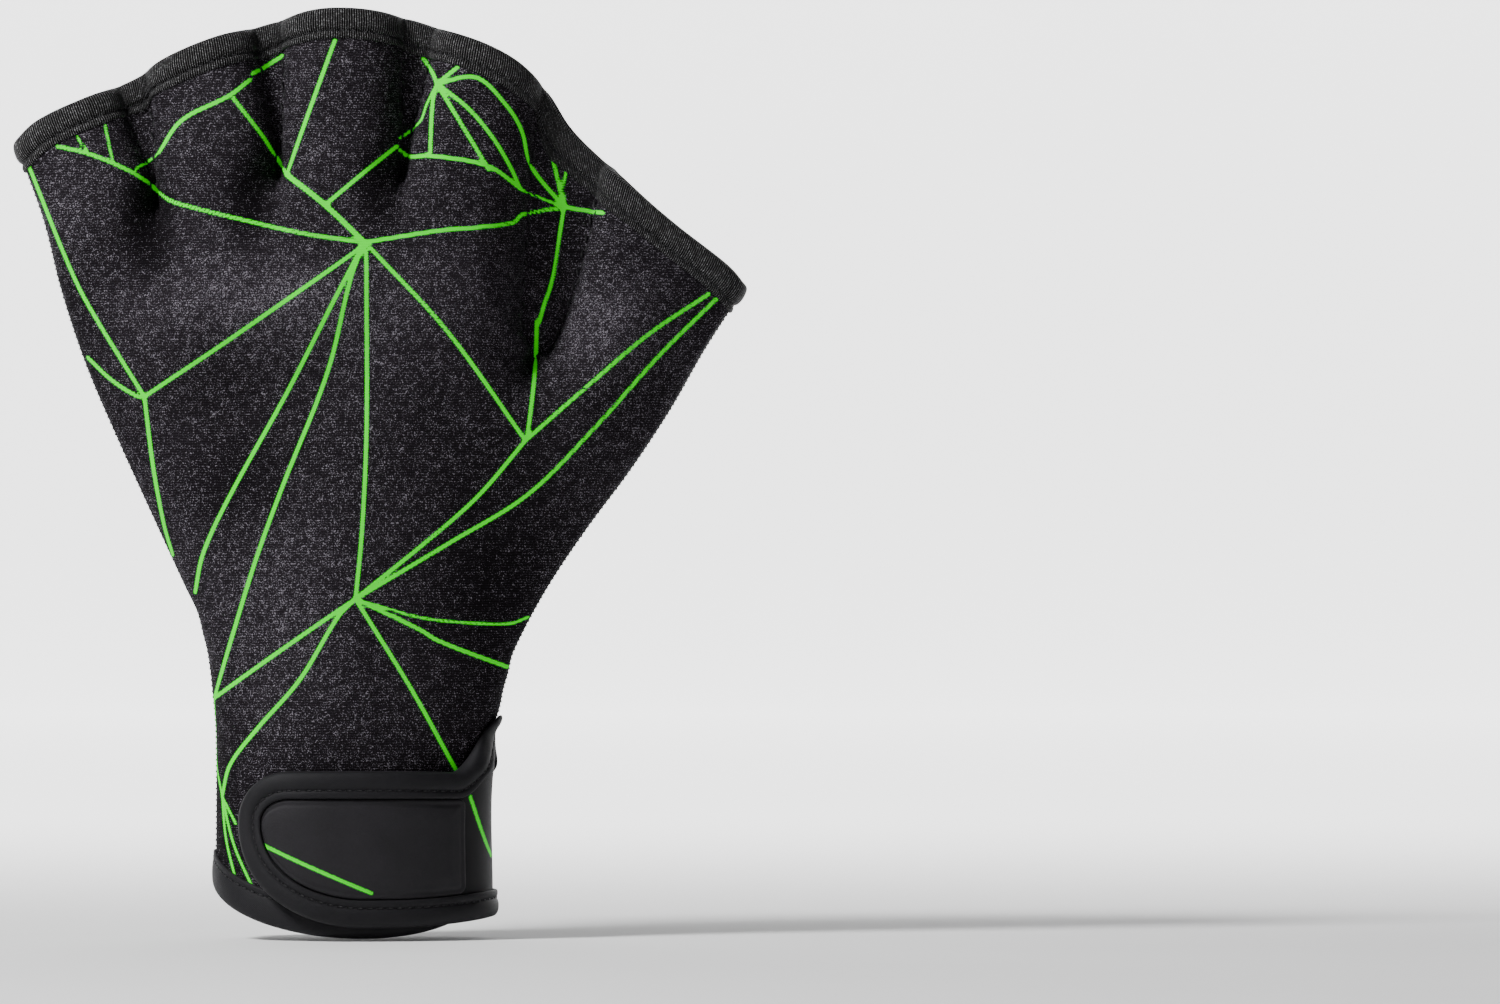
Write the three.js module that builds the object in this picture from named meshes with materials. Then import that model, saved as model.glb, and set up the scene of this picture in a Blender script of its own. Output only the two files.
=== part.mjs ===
// A webbed swim glove for the left hand, seen from the back of the hand, standing as a hand fills it.
// Millimetres. The origin is the middle of the wrist opening, +Z runs to the fingertips, +X to the thumb
// and the back of the hand faces -Y. Two neoprene panels are joined down both sides and are pinched
// together in four webs, so that five open finger channels are left between them. Elastic tape is folded
// over every raw edge, and a strap with a rounded end closes the wrist on the back of the hand.
import * as THREE from "three";

// Driving sizes of the whole glove.
const WRIST_WIDTH = 63.6; // outside, from side to side
const WRIST_DEPTH = 46; // outside, from the back of the wrist to its inside
const FAN_HEIGHT = 215.2; // origin to the tip edge over the middle finger
const PINKY_REACH = 48.7; // how far the little finger's corner stands out past the wrist
const THUMB_REACH = 63.8; // how far the thumb's corner stands out past the wrist
const FINGER_LEAN = 10; // the fingertips lean this far towards the palm
const THUMB_TUCK = 7; // the thumb lies this much nearer the palm than the fingers
const TUCK_ACROSS = { from: 0.6, to: 1 }; // where the tuck sets in, across the hand and up it
const TUCK_RISE = { from: 0.25, to: 0.7 };

// Cloth and tape.
const NEOPRENE = 2.2; // panel thickness
const STRAP_CLOTH = 2.0; // strap thickness
const TAPE = 0.7; // binding tape thickness
const LABEL_CLOTH = 0.6;
const SEAT = 0.3; // gap left between pieces that lie on each other
const STRAP_SEAT = 0.5; // gap inside the strap's tape, which bends round a tighter end

// The hem at the wrist: its height at each side seam, and how far it hangs between them.
const HEM_PINKY_SIDE = 5.9;
const HEM_THUMB_SIDE = 2.2;
const HEM_SAG = { back: 10.8, palm: 3 };

// Bindings: how far each leg of the folded tape reaches in from the edge that it covers.
const TIP_TAPE_REACH = 7.0;
const TIP_GROOVE_REACH = 5.0; // the stitch groove in the tape's outer leg
const CUFF_TAPE_REACH = 7.2;
const STRAP_TAPE_REACH = 5.4;
const INNER_LEG_SHARE = 0.8; // the hidden leg is shorter than the one that shows
const TAPE_PUFF = 0.5; // how much the tip tape swells between its stitches and its fold

// Finger channels.
const CHANNEL_SHOULDER = 12; // from a web's stitches to the crown of the finger beside it
const CHANNEL_ROUNDNESS = 2.1;
const CREASE_WIDTH = 1.2; // what is left of a web below its lowest stitch
const TALLEST_ROW = 1.2; // the rows of the mesh close up towards the tips by this power

// How far each side has flared out at a rise up the glove, as a share of its reach.
const SIDES = [
  { rise: 0.0, pinky: 0.0, thumb: -0.021 },
  { rise: 0.2, pinky: 0.0, thumb: -0.019 },
  { rise: 0.275, pinky: 0.024, thumb: -0.014 },
  { rise: 0.295, pinky: 0.033, thumb: 0.002 },
  { rise: 0.315, pinky: 0.045, thumb: 0.042 },
  { rise: 0.335, pinky: 0.064, thumb: 0.078 },
  { rise: 0.365, pinky: 0.092, thumb: 0.107 },
  { rise: 0.4, pinky: 0.153, thumb: 0.128 },
  { rise: 0.5, pinky: 0.322, thumb: 0.248 },
  { rise: 0.6, pinky: 0.489, thumb: 0.4 },
  { rise: 0.7, pinky: 0.645, thumb: 0.57 },
  { rise: 0.8, pinky: 0.768, thumb: 0.721 },
  { rise: 0.9, pinky: 0.864, thumb: 0.852 },
  { rise: 1.0, pinky: 1.0, thumb: 1.0 },
];

// Height of the tip edge, as a share of the fan height, from the little finger's corner to the thumb's.
const TIP_EDGE = [
  { across: 0.0, height: 0.85 },
  { across: 0.03, height: 0.873 },
  { across: 0.1, height: 0.9 },
  { across: 0.165, height: 0.92 },
  { across: 0.2, height: 0.941 },
  { across: 0.278, height: 0.968 },
  { across: 0.345, height: 0.981 },
  { across: 0.4, height: 0.996 },
  { across: 0.443, height: 1.0 },
  { across: 0.5, height: 0.996 },
  { across: 0.555, height: 0.983 },
  { across: 0.65, height: 0.958 },
  { across: 0.71, height: 0.925 },
  { across: 0.754, height: 0.868 },
  { across: 0.816, height: 0.819 },
  { across: 0.9, height: 0.76 },
  { across: 0.975, height: 0.712 },
  { across: 1.0, height: 0.69 },
];

// Cross-sections up the glove. back and palm are shares of half the wrist's depth, lean is a share of
// the finger lean, and square is the power of the section's rounded outline: 2 is an ellipse.
const SECTIONS = [
  { rise: 0.0, back: 1.0, palm: 1.0, lean: 0.0, square: 2.0 },
  { rise: 0.15, back: 0.97, palm: 1.0, lean: 0.0, square: 2.0 },
  { rise: 0.3, back: 0.88, palm: 0.97, lean: 0.0, square: 2.1 },
  { rise: 0.45, back: 0.78, palm: 0.9, lean: 0.0, square: 2.2 },
  { rise: 0.57, back: 0.77, palm: 0.8, lean: 0.02, square: 2.3 },
  { rise: 0.68, back: 0.81, palm: 0.7, lean: 0.1, square: 2.5 },
  { rise: 0.8, back: 0.74, palm: 0.61, lean: 0.34, square: 2.9 },
  { rise: 0.9, back: 0.6, palm: 0.53, lean: 0.65, square: 3.5 },
  { rise: 1.0, back: 0.48, palm: 0.47, lean: 1.0, square: 4.2 },
];
const CROWN_ACROSS = { back: 0.44, palm: 0.54 }; // where each side of the hand stands out most

// The webs. across is where each meets the tip edge and width its width there, crotch is the rise of
// its lowest stitch and drift how far across it has moved there. The crease that runs on below it is gone
// at the rises back and palm. taper is the power that narrows the web: 1 for a V, less for a U.
const WEBS = [
  { across: 0.1605, drift: 0.004, width: 8.4, crotch: 0.872, back: 0.68, palm: 0.8, taper: 0.9, steps: 1 },
  { across: 0.3465, drift: 0.011, width: 8.2, crotch: 0.848, back: 0.72, palm: 0.78, taper: 0.9, steps: 1 },
  { across: 0.553, drift: 0.001, width: 9.2, crotch: 0.85, back: 0.72, palm: 0.78, taper: 0.9, steps: 1 },
  { across: 0.7625, drift: 0.034, width: 16.0, crotch: 0.752, back: 0.6, palm: 0.68, taper: 0.3, steps: 3 },
];

// Rises and hollows of a filled glove: knuckles and fingers on the back, the ball of the thumb and the
// heel of the hand on the palm. height is a share of half the wrist's depth.
const FORMS = [
  { side: "back", across: 0.13, rise: 0.74, wide: 0.07, tall: 0.07, height: 0.07 },
  { side: "back", across: 0.27, rise: 0.7, wide: 0.07, tall: 0.06, height: 0.08 },
  { side: "back", across: 0.45, rise: 0.7, wide: 0.08, tall: 0.06, height: 0.06 },
  { side: "back", across: 0.64, rise: 0.72, wide: 0.07, tall: 0.07, height: 0.05 },
  { side: "back", across: 0.3, rise: 0.56, wide: 0.2, tall: 0.06, height: -0.05 },
  { side: "palm", across: 0.74, rise: 0.42, wide: 0.14, tall: 0.13, height: 0.16 },
  { side: "palm", across: 0.22, rise: 0.4, wide: 0.12, tall: 0.14, height: 0.1 },
  { side: "palm", across: 0.48, rise: 0.5, wide: 0.1, tall: 0.14, height: -0.1 },
];

// The strap, measured on the wrist: turn is the angle round it, 0 at the little finger's side seam,
// 90 in the middle of the back and 180 at the thumb's side seam. Heights are above the origin.
const STRAP = { end: 46.5, root: 232, tip: 20, low: -4, high: 31, lowRound: 52, highRound: 22 };
const STRAP_SHOULDER = { from: 140, peak: 172, to: 222, rise: 13.5 }; // where it runs up beside the slit
const STRAP_LOW_LIFT = { from: 110, to: 180, rise: 2 };
const STRAP_DEGREE = 0.45; // millimetres of strap in one degree, near its rounded end
const LABEL_ROOT = 143;
const HOOK_PATCH = { from: 76, to: 134 };

// Mesh fineness.
const CHANNEL_STEPS = 6;
const PANEL_ROWS = 19;
const STRAP_STEPS = 28;
const LABEL_STEPS = 14;
const HOOK_STEPS = 10;
const END_CROWDING = 1.3; // the lines of a tab close up towards its rounded end by this power
const SMALL_ANGLE = 0.15; // degrees, so that a rounded end closes without a point
const SMALL_RISE = 0.004; // how far to either side a direction on the skin is measured
const SMALL_TURN = 2; // the same on the wrist, in degrees and in millimetres of height
const SMALL_HEIGHT = 2;

const BACK = { name: "back", sign: -1 };
const PALM = { name: "palm", sign: 1 };
const lerp = THREE.MathUtils.lerp;
const clamp = THREE.MathUtils.clamp;
const radians = THREE.MathUtils.degToRad;

// Smooth step from 0 at from to 1 at to.
function ease(value, from, to) {
  const share = clamp((value - from) / (to - from), 0, 1);
  return share * share * (3 - 2 * share);
}

// Smooth curve through a table's column: a cubic between rows, whose slope at each row is that from the
// row before to the row after.
function along(rows, key, column, at) {
  const last = rows.length - 1;
  const x = clamp(at, rows[0][key], rows[last][key]);
  let i = 0;
  while (i < last - 1 && x > rows[i + 1][key]) i++;
  const slope = (k) => {
    const before = rows[Math.max(0, k - 1)];
    const after = rows[Math.min(last, k + 1)];
    return (after[column] - before[column]) / (after[key] - before[key]);
  };
  const step = rows[i + 1][key] - rows[i][key];
  const f = (x - rows[i][key]) / step;
  const g = 1 - f;
  return (
    (1 + 2 * f) * g * g * rows[i][column] +
    f * g * g * step * slope(i) +
    f * f * (3 - 2 * f) * rows[i + 1][column] -
    f * f * g * step * slope(i + 1)
  );
}

const pinkySide = (rise) => -WRIST_WIDTH / 2 - PINKY_REACH * along(SIDES, "rise", "pinky", rise);
const thumbSide = (rise) => WRIST_WIDTH / 2 + THUMB_REACH * along(SIDES, "rise", "thumb", rise);
const rowWidth = (rise) => thumbSide(rise) - pinkySide(rise);
const tipHeight = (across) => FAN_HEIGHT * along(TIP_EDGE, "across", "height", across);

function hemHeight(side, across) {
  const round = 2 * Math.sqrt(Math.max(0, across * (1 - across)));
  return lerp(HEM_PINKY_SIDE, HEM_THUMB_SIDE, across) - HEM_SAG[side.name] * round;
}

// A web's middle and half its width at a rise: full at the tip edge, and drawn in to a crease at its
// crotch.
function webAt(web, rise) {
  const share = clamp((rise - web.crotch) / (1 - web.crotch), 0, 1);
  return {
    across: web.across + web.drift * (1 - share),
    half: Math.max(CREASE_WIDTH, web.width * share ** web.taper) / 2,
  };
}

// How far the outer skin stands from the middle of the hand: a rounded section with the forms of the
// hand on it, pulled in at each web to the thickness of the cloth that is stitched there.
function skinDepth(side, across, rise) {
  const half = (WRIST_DEPTH / 2) * along(SECTIONS, "rise", side.name, rise);
  const power = along(SECTIONS, "rise", "square", rise);
  const crown = CROWN_ACROSS[side.name];
  const from = Math.abs(across - crown) / (across < crown ? crown : 1 - crown);
  const rounded = (1 - Math.min(1, from) ** power) ** (1 / power);
  let depth = half * rounded;
  for (const form of FORMS) {
    if (form.side !== side.name) continue;
    const u = (across - form.across) / form.wide;
    const v = (rise - form.rise) / form.tall;
    depth += (WRIST_DEPTH / 2) * form.height * rounded * Math.exp(-(u * u + v * v) / 2);
  }
  let pull = 0;
  for (const web of WEBS) {
    const middle = webAt(web, rise);
    const out = Math.abs(across - middle.across) * rowWidth(rise) - middle.half;
    const share = clamp(out / CHANNEL_SHOULDER, 0, 1);
    const wall = 1 - (1 - (1 - share) ** CHANNEL_ROUNDNESS) ** (1 / CHANNEL_ROUNDNESS);
    const taped = ease(rise, web.crotch, 1) * (TAPE + SEAT);
    const floor = NEOPRENE + SEAT / 2 + taped;
    pull = Math.max(pull, Math.max(0, depth - floor) * wall * ease(rise, web[side.name], web.crotch));
  }
  return depth - pull;
}

// A point of the outer skin, across the hand from the little finger's side (0) to the thumb's (1) and up
// it from the hem (0) to the tip edge (1).
function skinPoint(side, across, rise) {
  const tuckedAcross = ease(across, TUCK_ACROSS.from, TUCK_ACROSS.to);
  const tuckedUp = ease(rise, TUCK_RISE.from, TUCK_RISE.to);
  const tuck = THUMB_TUCK * tuckedAcross * tuckedUp;
  const middle = FINGER_LEAN * along(SECTIONS, "rise", "lean", rise) + tuck;
  return new THREE.Vector3(
    lerp(pinkySide(rise), thumbSide(rise), across),
    middle + side.sign * (SEAT / 2 + skinDepth(side, across, rise)),
    lerp(hemHeight(side, across), tipHeight(across), rise),
  );
}

// Where the mesh's columns stand at a rise: close together beside each web, and following its stitches.
function columnsAt(rise) {
  const columns = [0];
  const spread = (to, steps, share) => {
    const from = columns[columns.length - 1];
    for (let k = 1; k <= steps; k++) columns.push(lerp(from, to, share(k / steps)));
  };
  const closeAtEnds = (share) => (1 - Math.cos(Math.PI * share)) / 2;
  for (const web of WEBS) {
    const middle = webAt(web, rise);
    const half = middle.half / rowWidth(rise);
    spread(middle.across - half, CHANNEL_STEPS, closeAtEnds);
    spread(middle.across + half, web.steps, (share) => share);
  }
  spread(1, CHANNEL_STEPS, closeAtEnds);
  return columns;
}
const COLUMNS = columnsAt(1).length;

// The skin at a column and rise: its place, the way out of the glove, and the way up the column.
function skinFrame(side, column, rise) {
  const across = columnsAt(rise);
  const place = skinPoint(side, across[column], rise);
  const low = Math.max(0, rise - SMALL_RISE);
  const high = Math.min(1, rise + SMALL_RISE);
  const up = skinPoint(side, columnsAt(high)[column], high).sub(
    skinPoint(side, columnsAt(low)[column], low),
  );
  const climb = up.length() / (high - low); // millimetres of column for the whole rise
  up.normalize();
  const seam = column === 0 || column === COLUMNS - 1;
  const over = seam
    ? new THREE.Vector3(0, column === 0 ? side.sign : -side.sign, 0)
    : skinPoint(side, across[column + 1], rise).sub(skinPoint(side, across[column - 1], rise));
  const out = new THREE.Vector3().crossVectors(over, up).multiplyScalar(-side.sign).normalize();
  return { place, out, up, climb, over: over.normalize() };
}

// One closed mesh from a grid of points. Each row is a loop, and the first and last rows are capped.
// With ring set the last row joins the first instead.
function loopMesh(loops, ring) {
  const count = loops[0].length;
  const position = [];
  loops.forEach((loop) => loop.forEach((p) => position.push(p.x, p.y, p.z)));
  const index = [];
  const rows = ring ? loops.length : loops.length - 1;
  for (let i = 0; i < rows; i++) {
    for (let j = 0; j < count; j++) {
      const a = i * count + j;
      const b = i * count + ((j + 1) % count);
      const c = ((i + 1) % loops.length) * count + ((j + 1) % count);
      const d = ((i + 1) % loops.length) * count + j;
      index.push(a, b, c, a, c, d);
    }
  }
  if (!ring) {
    // A cap is a strip between the two halves of its loop.
    const cap = (start, flip) => {
      for (let j = 0; j < count / 2 - 1; j++) {
        const a = start + j;
        const b = start + j + 1;
        const c = start + count - 2 - j;
        const d = start + count - 1 - j;
        if (flip) index.push(a, c, b, a, d, c);
        else index.push(a, b, c, a, c, d);
      }
    };
    cap(0, true);
    cap((loops.length - 1) * count, false);
  }
  return facingOut(position, index);
}

// Turns the faces round if the closed mesh is inside out.
function facingOut(position, index) {
  let volume = 0;
  const corner = (k) => new THREE.Vector3().fromArray(position, index[k] * 3);
  for (let k = 0; k < index.length; k += 3)
    volume += corner(k).dot(corner(k + 1).cross(corner(k + 2)));
  if (volume < 0)
    for (let k = 0; k < index.length; k += 3)
      [index[k + 1], index[k + 2]] = [index[k + 2], index[k + 1]];
  const geometry = new THREE.BufferGeometry();
  geometry.setAttribute("position", new THREE.Float32BufferAttribute(position, 3));
  geometry.setIndex(index);
  return geometry;
}

// A panel: the outer skin across one way, and the inner skin back, row by row.
function panelGeometry(side) {
  const loops = [];
  for (let j = 0; j <= PANEL_ROWS; j++) {
    const rise = 1 - (1 - j / PANEL_ROWS) ** TALLEST_ROW;
    const outer = [];
    const inner = [];
    for (let i = 0; i < COLUMNS; i++) {
      const { place, out } = skinFrame(side, i, rise);
      outer.push(place);
      inner.unshift(place.clone().addScaledVector(out, -NEOPRENE));
    }
    loops.push([...outer, ...inner]);
  }
  return loopMesh(loops, false);
}

// The section of a tape folded over an edge: its outer face from the shown leg round the fold to the
// hidden leg, then its inner face back. Each point is a reach (negative in from the edge, positive past
// it) and an offset (outwards from the cloth's outer face).
function foldedTape(reach, cloth, near, puff) {
  const far = near + TAPE;
  const hidden = reach * INNER_LEG_SHARE;
  const fold = far + puff / 2;
  const middle = (reach * TIP_GROOVE_REACH) / TIP_TAPE_REACH / 2;
  const outer = [
    [-reach, far],
    [-middle, far + puff],
    [0, fold],
    [fold, -cloth / 2],
    [0, -cloth - far],
    [-hidden, -cloth - far],
  ];
  const inner = [
    [-reach, near],
    [-middle, near],
    [near, near],
    [near, -cloth / 2],
    [near, -cloth - near],
    [-hidden, -cloth - near],
  ];
  if (puff > 0) {
    outer.splice(1, 0, [-2 * middle, far - puff / 3]);
    inner.splice(1, 0, [-2 * middle, near]);
  }
  return [...outer, ...inner.reverse()];
}

// A tape folded over the tip edge (end 1) or the hem (end 0), carried once round the glove.
function edgeBinding(end, section) {
  const stations = [];
  for (let i = 0; i < COLUMNS; i++) stations.push([BACK, i]);
  for (let i = COLUMNS - 2; i > 0; i--) stations.push([PALM, i]);
  const loops = stations.map(([side, column]) => {
    const edge = skinFrame(side, column, end);
    // The way out past the edge lies in the skin and is square to the edge.
    const near = Math.max(0, column - 1);
    const next = Math.min(COLUMNS - 1, column + 1);
    const seam = near === column || next === column;
    const run = seam
      ? new THREE.Vector3(0, 1, 0)
      : skinPoint(side, columnsAt(end)[next], end).sub(skinPoint(side, columnsAt(end)[near], end));
    const past = new THREE.Vector3().crossVectors(run, edge.out).normalize();
    const climbing = end === 1 ? 1 : -1;
    if (past.dot(edge.up) * climbing < 0) past.negate();
    const square = Math.abs(past.dot(edge.up)); // the columns meet the edge at a slant
    return section.map(([reach, offset]) => {
      if (reach > 0)
        return edge.place.clone().addScaledVector(past, reach).addScaledVector(edge.out, offset);
      const rise = end + (climbing * reach) / (edge.climb * square);
      const { place, out } = skinFrame(side, column, rise);
      return place.addScaledVector(out, offset);
    });
  });
  return loopMesh(loops, true);
}

// A point on the wrist at a turn and height, this far out from the skin.
function wristPoint(turn, height, offset) {
  const place = (degrees, z) => {
    const across = (1 - Math.cos(radians(degrees))) / 2;
    const side = degrees < 180 ? BACK : PALM;
    const hem = hemHeight(side, across);
    return skinPoint(side, across, (z - hem) / (tipHeight(across) - hem));
  };
  const round = place(turn + SMALL_TURN, height).sub(place(turn - SMALL_TURN, height));
  const up = place(turn, height + SMALL_HEIGHT).sub(place(turn, height - SMALL_HEIGHT));
  const out = new THREE.Vector3().crossVectors(round, up).normalize();
  return place(turn, height).addScaledVector(out, offset);
}

// Heights of a rounded tab's lower and upper edges at a turn.
function tabEdges(tab, turn) {
  const round = (reach) => {
    const left = clamp((tab.end + reach - turn) / reach, 0, 1);
    return Math.sqrt(1 - left * left);
  };
  return {
    low: lerp(tab.tip, tab.low, round(tab.lowRound)),
    high: lerp(tab.tip, tab.high, round(tab.highRound)),
  };
}

// The strap's own edges moved in by an inset, for what lies between the tape's legs.
function insetTab(inset, root) {
  return {
    end: STRAP.end + inset / STRAP_DEGREE,
    root,
    tip: STRAP.tip,
    low: STRAP.low + inset + STRAP_LOW_LIFT.rise,
    high: STRAP.high - inset,
    lowRound: STRAP.lowRound - inset / STRAP_DEGREE,
    highRound: STRAP.highRound - inset / STRAP_DEGREE,
  };
}

function strapEdges(turn) {
  const { low, high } = tabEdges(STRAP, turn);
  const { from, peak, to, rise } = STRAP_SHOULDER;
  const shoulder = rise * ease(turn, from, peak) * (1 - ease(turn, peak, to));
  const lift = STRAP_LOW_LIFT.rise * ease(turn, STRAP_LOW_LIFT.from, STRAP_LOW_LIFT.to);
  return { low: low + lift, high: high + shoulder };
}

// Turns from a tab's rounded end to its root, closing up towards the end.
function tabTurns(tab, steps) {
  return Array.from({ length: steps + 1 }, (_, k) => {
    const share = (k / steps) ** END_CROWDING;
    return lerp(tab.end + SMALL_ANGLE, tab.root, share);
  });
}

// A sheet on the wrist between two edges, from one offset to another. Its lines run along the edges,
// and with a hem stated also where its tape's legs end and bend.
function wristSheet(turns, edgesAt, hem, nearOffset, farOffset) {
  return loopMesh(
    turns.map((turn) => {
      const { low, high } = edgesAt(turn);
      const inset = Math.min(hem, (high - low) / 4);
      const taped = [low + inset, high - inset, high - inset / 2];
      const heights = [low, ...(hem > 0 ? taped : []), high];
      const near = heights.map((height) => wristPoint(turn, height, nearOffset));
      const far = heights.map((height) => wristPoint(turn, height, farOffset));
      return [...near, ...far.reverse()];
    }),
    false,
  );
}

// The strap's tape, folded over its lower edge, its rounded end and its upper edge.
function strapBinding(section, strapOuter) {
  const turns = tabTurns(STRAP, STRAP_STEPS);
  const path = [
    ...turns.map((turn) => [turn, strapEdges(turn).low]).reverse(),
    ...turns.map((turn) => [turn, strapEdges(turn).high]),
  ];
  // Millimetres of strap in one degree of turn, so that a reach keeps its length round the wrist.
  const perDegree = (turn, height) =>
    wristPoint(turn + 1, height, strapOuter).distanceTo(wristPoint(turn - 1, height, strapOuter)) / 2;
  const loops = path.map(([turn, height], k) => {
    const before = path[Math.max(0, k - 1)];
    const after = path[Math.min(path.length - 1, k + 1)];
    const scale = perDegree(turn, height);
    const run = new THREE.Vector2((after[0] - before[0]) * scale, after[1] - before[1]).normalize();
    // The path runs clockwise seen from outside, so the strap lies on its right.
    const past = new THREE.Vector2(run.y, -run.x).negate();
    return section.map(([reach, offset]) =>
      wristPoint(
        turn + (past.x * reach) / scale,
        height + past.y * reach,
        strapOuter + offset,
      ),
    );
  });
  return loopMesh(loops, false);
}

const CLOTHS = {
  printed_neoprene: { color: 0x201e22, roughness: 0.72, metalness: 0 },
  ribbed_tape: { color: 0x17171a, roughness: 0.55, metalness: 0 },
  smooth_tape: { color: 0x262529, roughness: 0.8, metalness: 0 },
  strap_cloth: { color: 0x1e1c21, roughness: 0.85, metalness: 0 },
  label_cloth: { color: 0x1a191c, roughness: 0.7, metalness: 0 },
  hook_tape: { color: 0x101012, roughness: 0.9, metalness: 0 },
};

const glove = new THREE.Group();
function addPiece(name, geometry, cloth) {
  const mesh = new THREE.Mesh(geometry, new THREE.MeshStandardMaterial(CLOTHS[cloth]));
  mesh.name = name;
  glove.add(mesh);
}

// The strap's layers, outwards from the skin: the cuff tape, the strap tape's hidden leg, the strap.
const cuffOuter = SEAT + TAPE;
const strapInner = cuffOuter + SEAT + TAPE + STRAP_SEAT;
const strapOuter = strapInner + STRAP_CLOTH;

addPiece("back_panel", panelGeometry(BACK), "printed_neoprene");
addPiece("palm_panel", panelGeometry(PALM), "printed_neoprene");
const tipTape = foldedTape(TIP_TAPE_REACH, NEOPRENE, SEAT, TAPE_PUFF);
addPiece("tip_binding", edgeBinding(1, tipTape), "ribbed_tape");
const cuffTape = foldedTape(CUFF_TAPE_REACH, NEOPRENE, SEAT, 0);
addPiece("cuff_binding", edgeBinding(0, cuffTape), "smooth_tape");
addPiece(
  "wrist_strap",
  wristSheet(tabTurns(STRAP, STRAP_STEPS), strapEdges, STRAP_TAPE_REACH, strapInner, strapOuter),
  "strap_cloth",
);
addPiece(
  "strap_binding",
  strapBinding(foldedTape(STRAP_TAPE_REACH, STRAP_CLOTH, STRAP_SEAT, 0), strapOuter),
  "smooth_tape",
);
const label = insetTab(STRAP_TAPE_REACH + SEAT, LABEL_ROOT);
addPiece(
  "label_patch",
  wristSheet(
    tabTurns(label, LABEL_STEPS),
    (turn) => tabEdges(label, turn),
    0,
    strapOuter + SEAT,
    strapOuter + SEAT + LABEL_CLOTH,
  ),
  "label_cloth",
);
const hookEdges = insetTab(STRAP_TAPE_REACH + SEAT, HOOK_PATCH.to);
addPiece(
  "hook_patch",
  wristSheet(
    Array.from({ length: HOOK_STEPS + 1 }, (_, k) =>
      lerp(HOOK_PATCH.from, HOOK_PATCH.to, k / HOOK_STEPS),
    ),
    () => hookEdges,
    0,
    SEAT,
    strapInner - SEAT,
  ),
  "hook_tape",
);

export default glove;
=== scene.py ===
# %% [markdown]
# # A webbed swim glove, one piece at a time
# The object is a glove for the left hand, cut from two panels of thin neoprene. It stands on its wrist
# opening, filled as a hand fills it, with the back of the hand towards the camera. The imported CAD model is
# the frame: every piece made here lies where its solid lies. Lengths below are in millimetres, as a glove
# maker would write them, and one function turns them into metres when a mesh is made.

import bpy
import numpy as np
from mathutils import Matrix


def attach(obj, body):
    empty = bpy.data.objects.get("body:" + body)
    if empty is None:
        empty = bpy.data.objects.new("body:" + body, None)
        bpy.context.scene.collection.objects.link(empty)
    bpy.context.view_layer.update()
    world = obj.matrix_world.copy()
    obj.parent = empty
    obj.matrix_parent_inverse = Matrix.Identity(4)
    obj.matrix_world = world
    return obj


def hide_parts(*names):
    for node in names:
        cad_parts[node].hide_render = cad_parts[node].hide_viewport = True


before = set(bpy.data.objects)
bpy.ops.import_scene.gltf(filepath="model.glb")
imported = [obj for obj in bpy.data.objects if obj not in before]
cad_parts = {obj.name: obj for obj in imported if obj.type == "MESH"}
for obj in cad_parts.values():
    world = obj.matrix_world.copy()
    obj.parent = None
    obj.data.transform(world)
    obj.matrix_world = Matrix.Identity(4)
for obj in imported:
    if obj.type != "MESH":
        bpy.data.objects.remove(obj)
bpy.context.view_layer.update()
METRE = 0.001
BODY = "root"

# %% [markdown]
# ## The camera
# The photograph is level and almost free of perspective, so it was taken from far away with a long lens. A
# camera three metres off does the same. One pixel of the 1500 by 1004 picture is 0.24 mm on the glove. The
# camera points at the middle of the picture and the glove stands left of it, so the lens needs no shift.

# %% Camera
PICTURE_WIDE = 1500
PICTURE_HIGH = 1004
MM_PER_PIXEL = 0.24
ORIGIN_PIXEL = (346, 905)
CAMERA_AWAY = 3000.0
GLOVE_PLANE = -14.0
SENSOR = 36.0

camera_x = (PICTURE_WIDE / 2 - ORIGIN_PIXEL[0]) * MM_PER_PIXEL
camera_z = (ORIGIN_PIXEL[1] - PICTURE_HIGH / 2) * MM_PER_PIXEL
camera = bpy.data.objects.new("camera", bpy.data.cameras.new("camera"))
camera.data.sensor_width = SENSOR
camera.data.lens = SENSOR * CAMERA_AWAY / (PICTURE_WIDE * MM_PER_PIXEL)
camera.data.clip_end = 50
camera.location = (camera_x * METRE, (GLOVE_PLANE - CAMERA_AWAY) * METRE, camera_z * METRE)
camera.rotation_euler = (np.pi / 2, 0, 0)
bpy.context.collection.objects.link(camera)
bpy.context.scene.camera = camera
print("lens", round(camera.data.lens, 1), "mm, at", [round(v, 4) for v in camera.location])

# %% [markdown]
# ## Shader maths as plain expressions
# A material is a network of nodes, and wiring it by hand hides the sums in it. The class below wraps one
# socket and overloads the operators, so that `ribs * 0.5 + noise` adds its own Math nodes. Every other node
# comes from one method, which sets the node's settings first and its sockets after.


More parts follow.
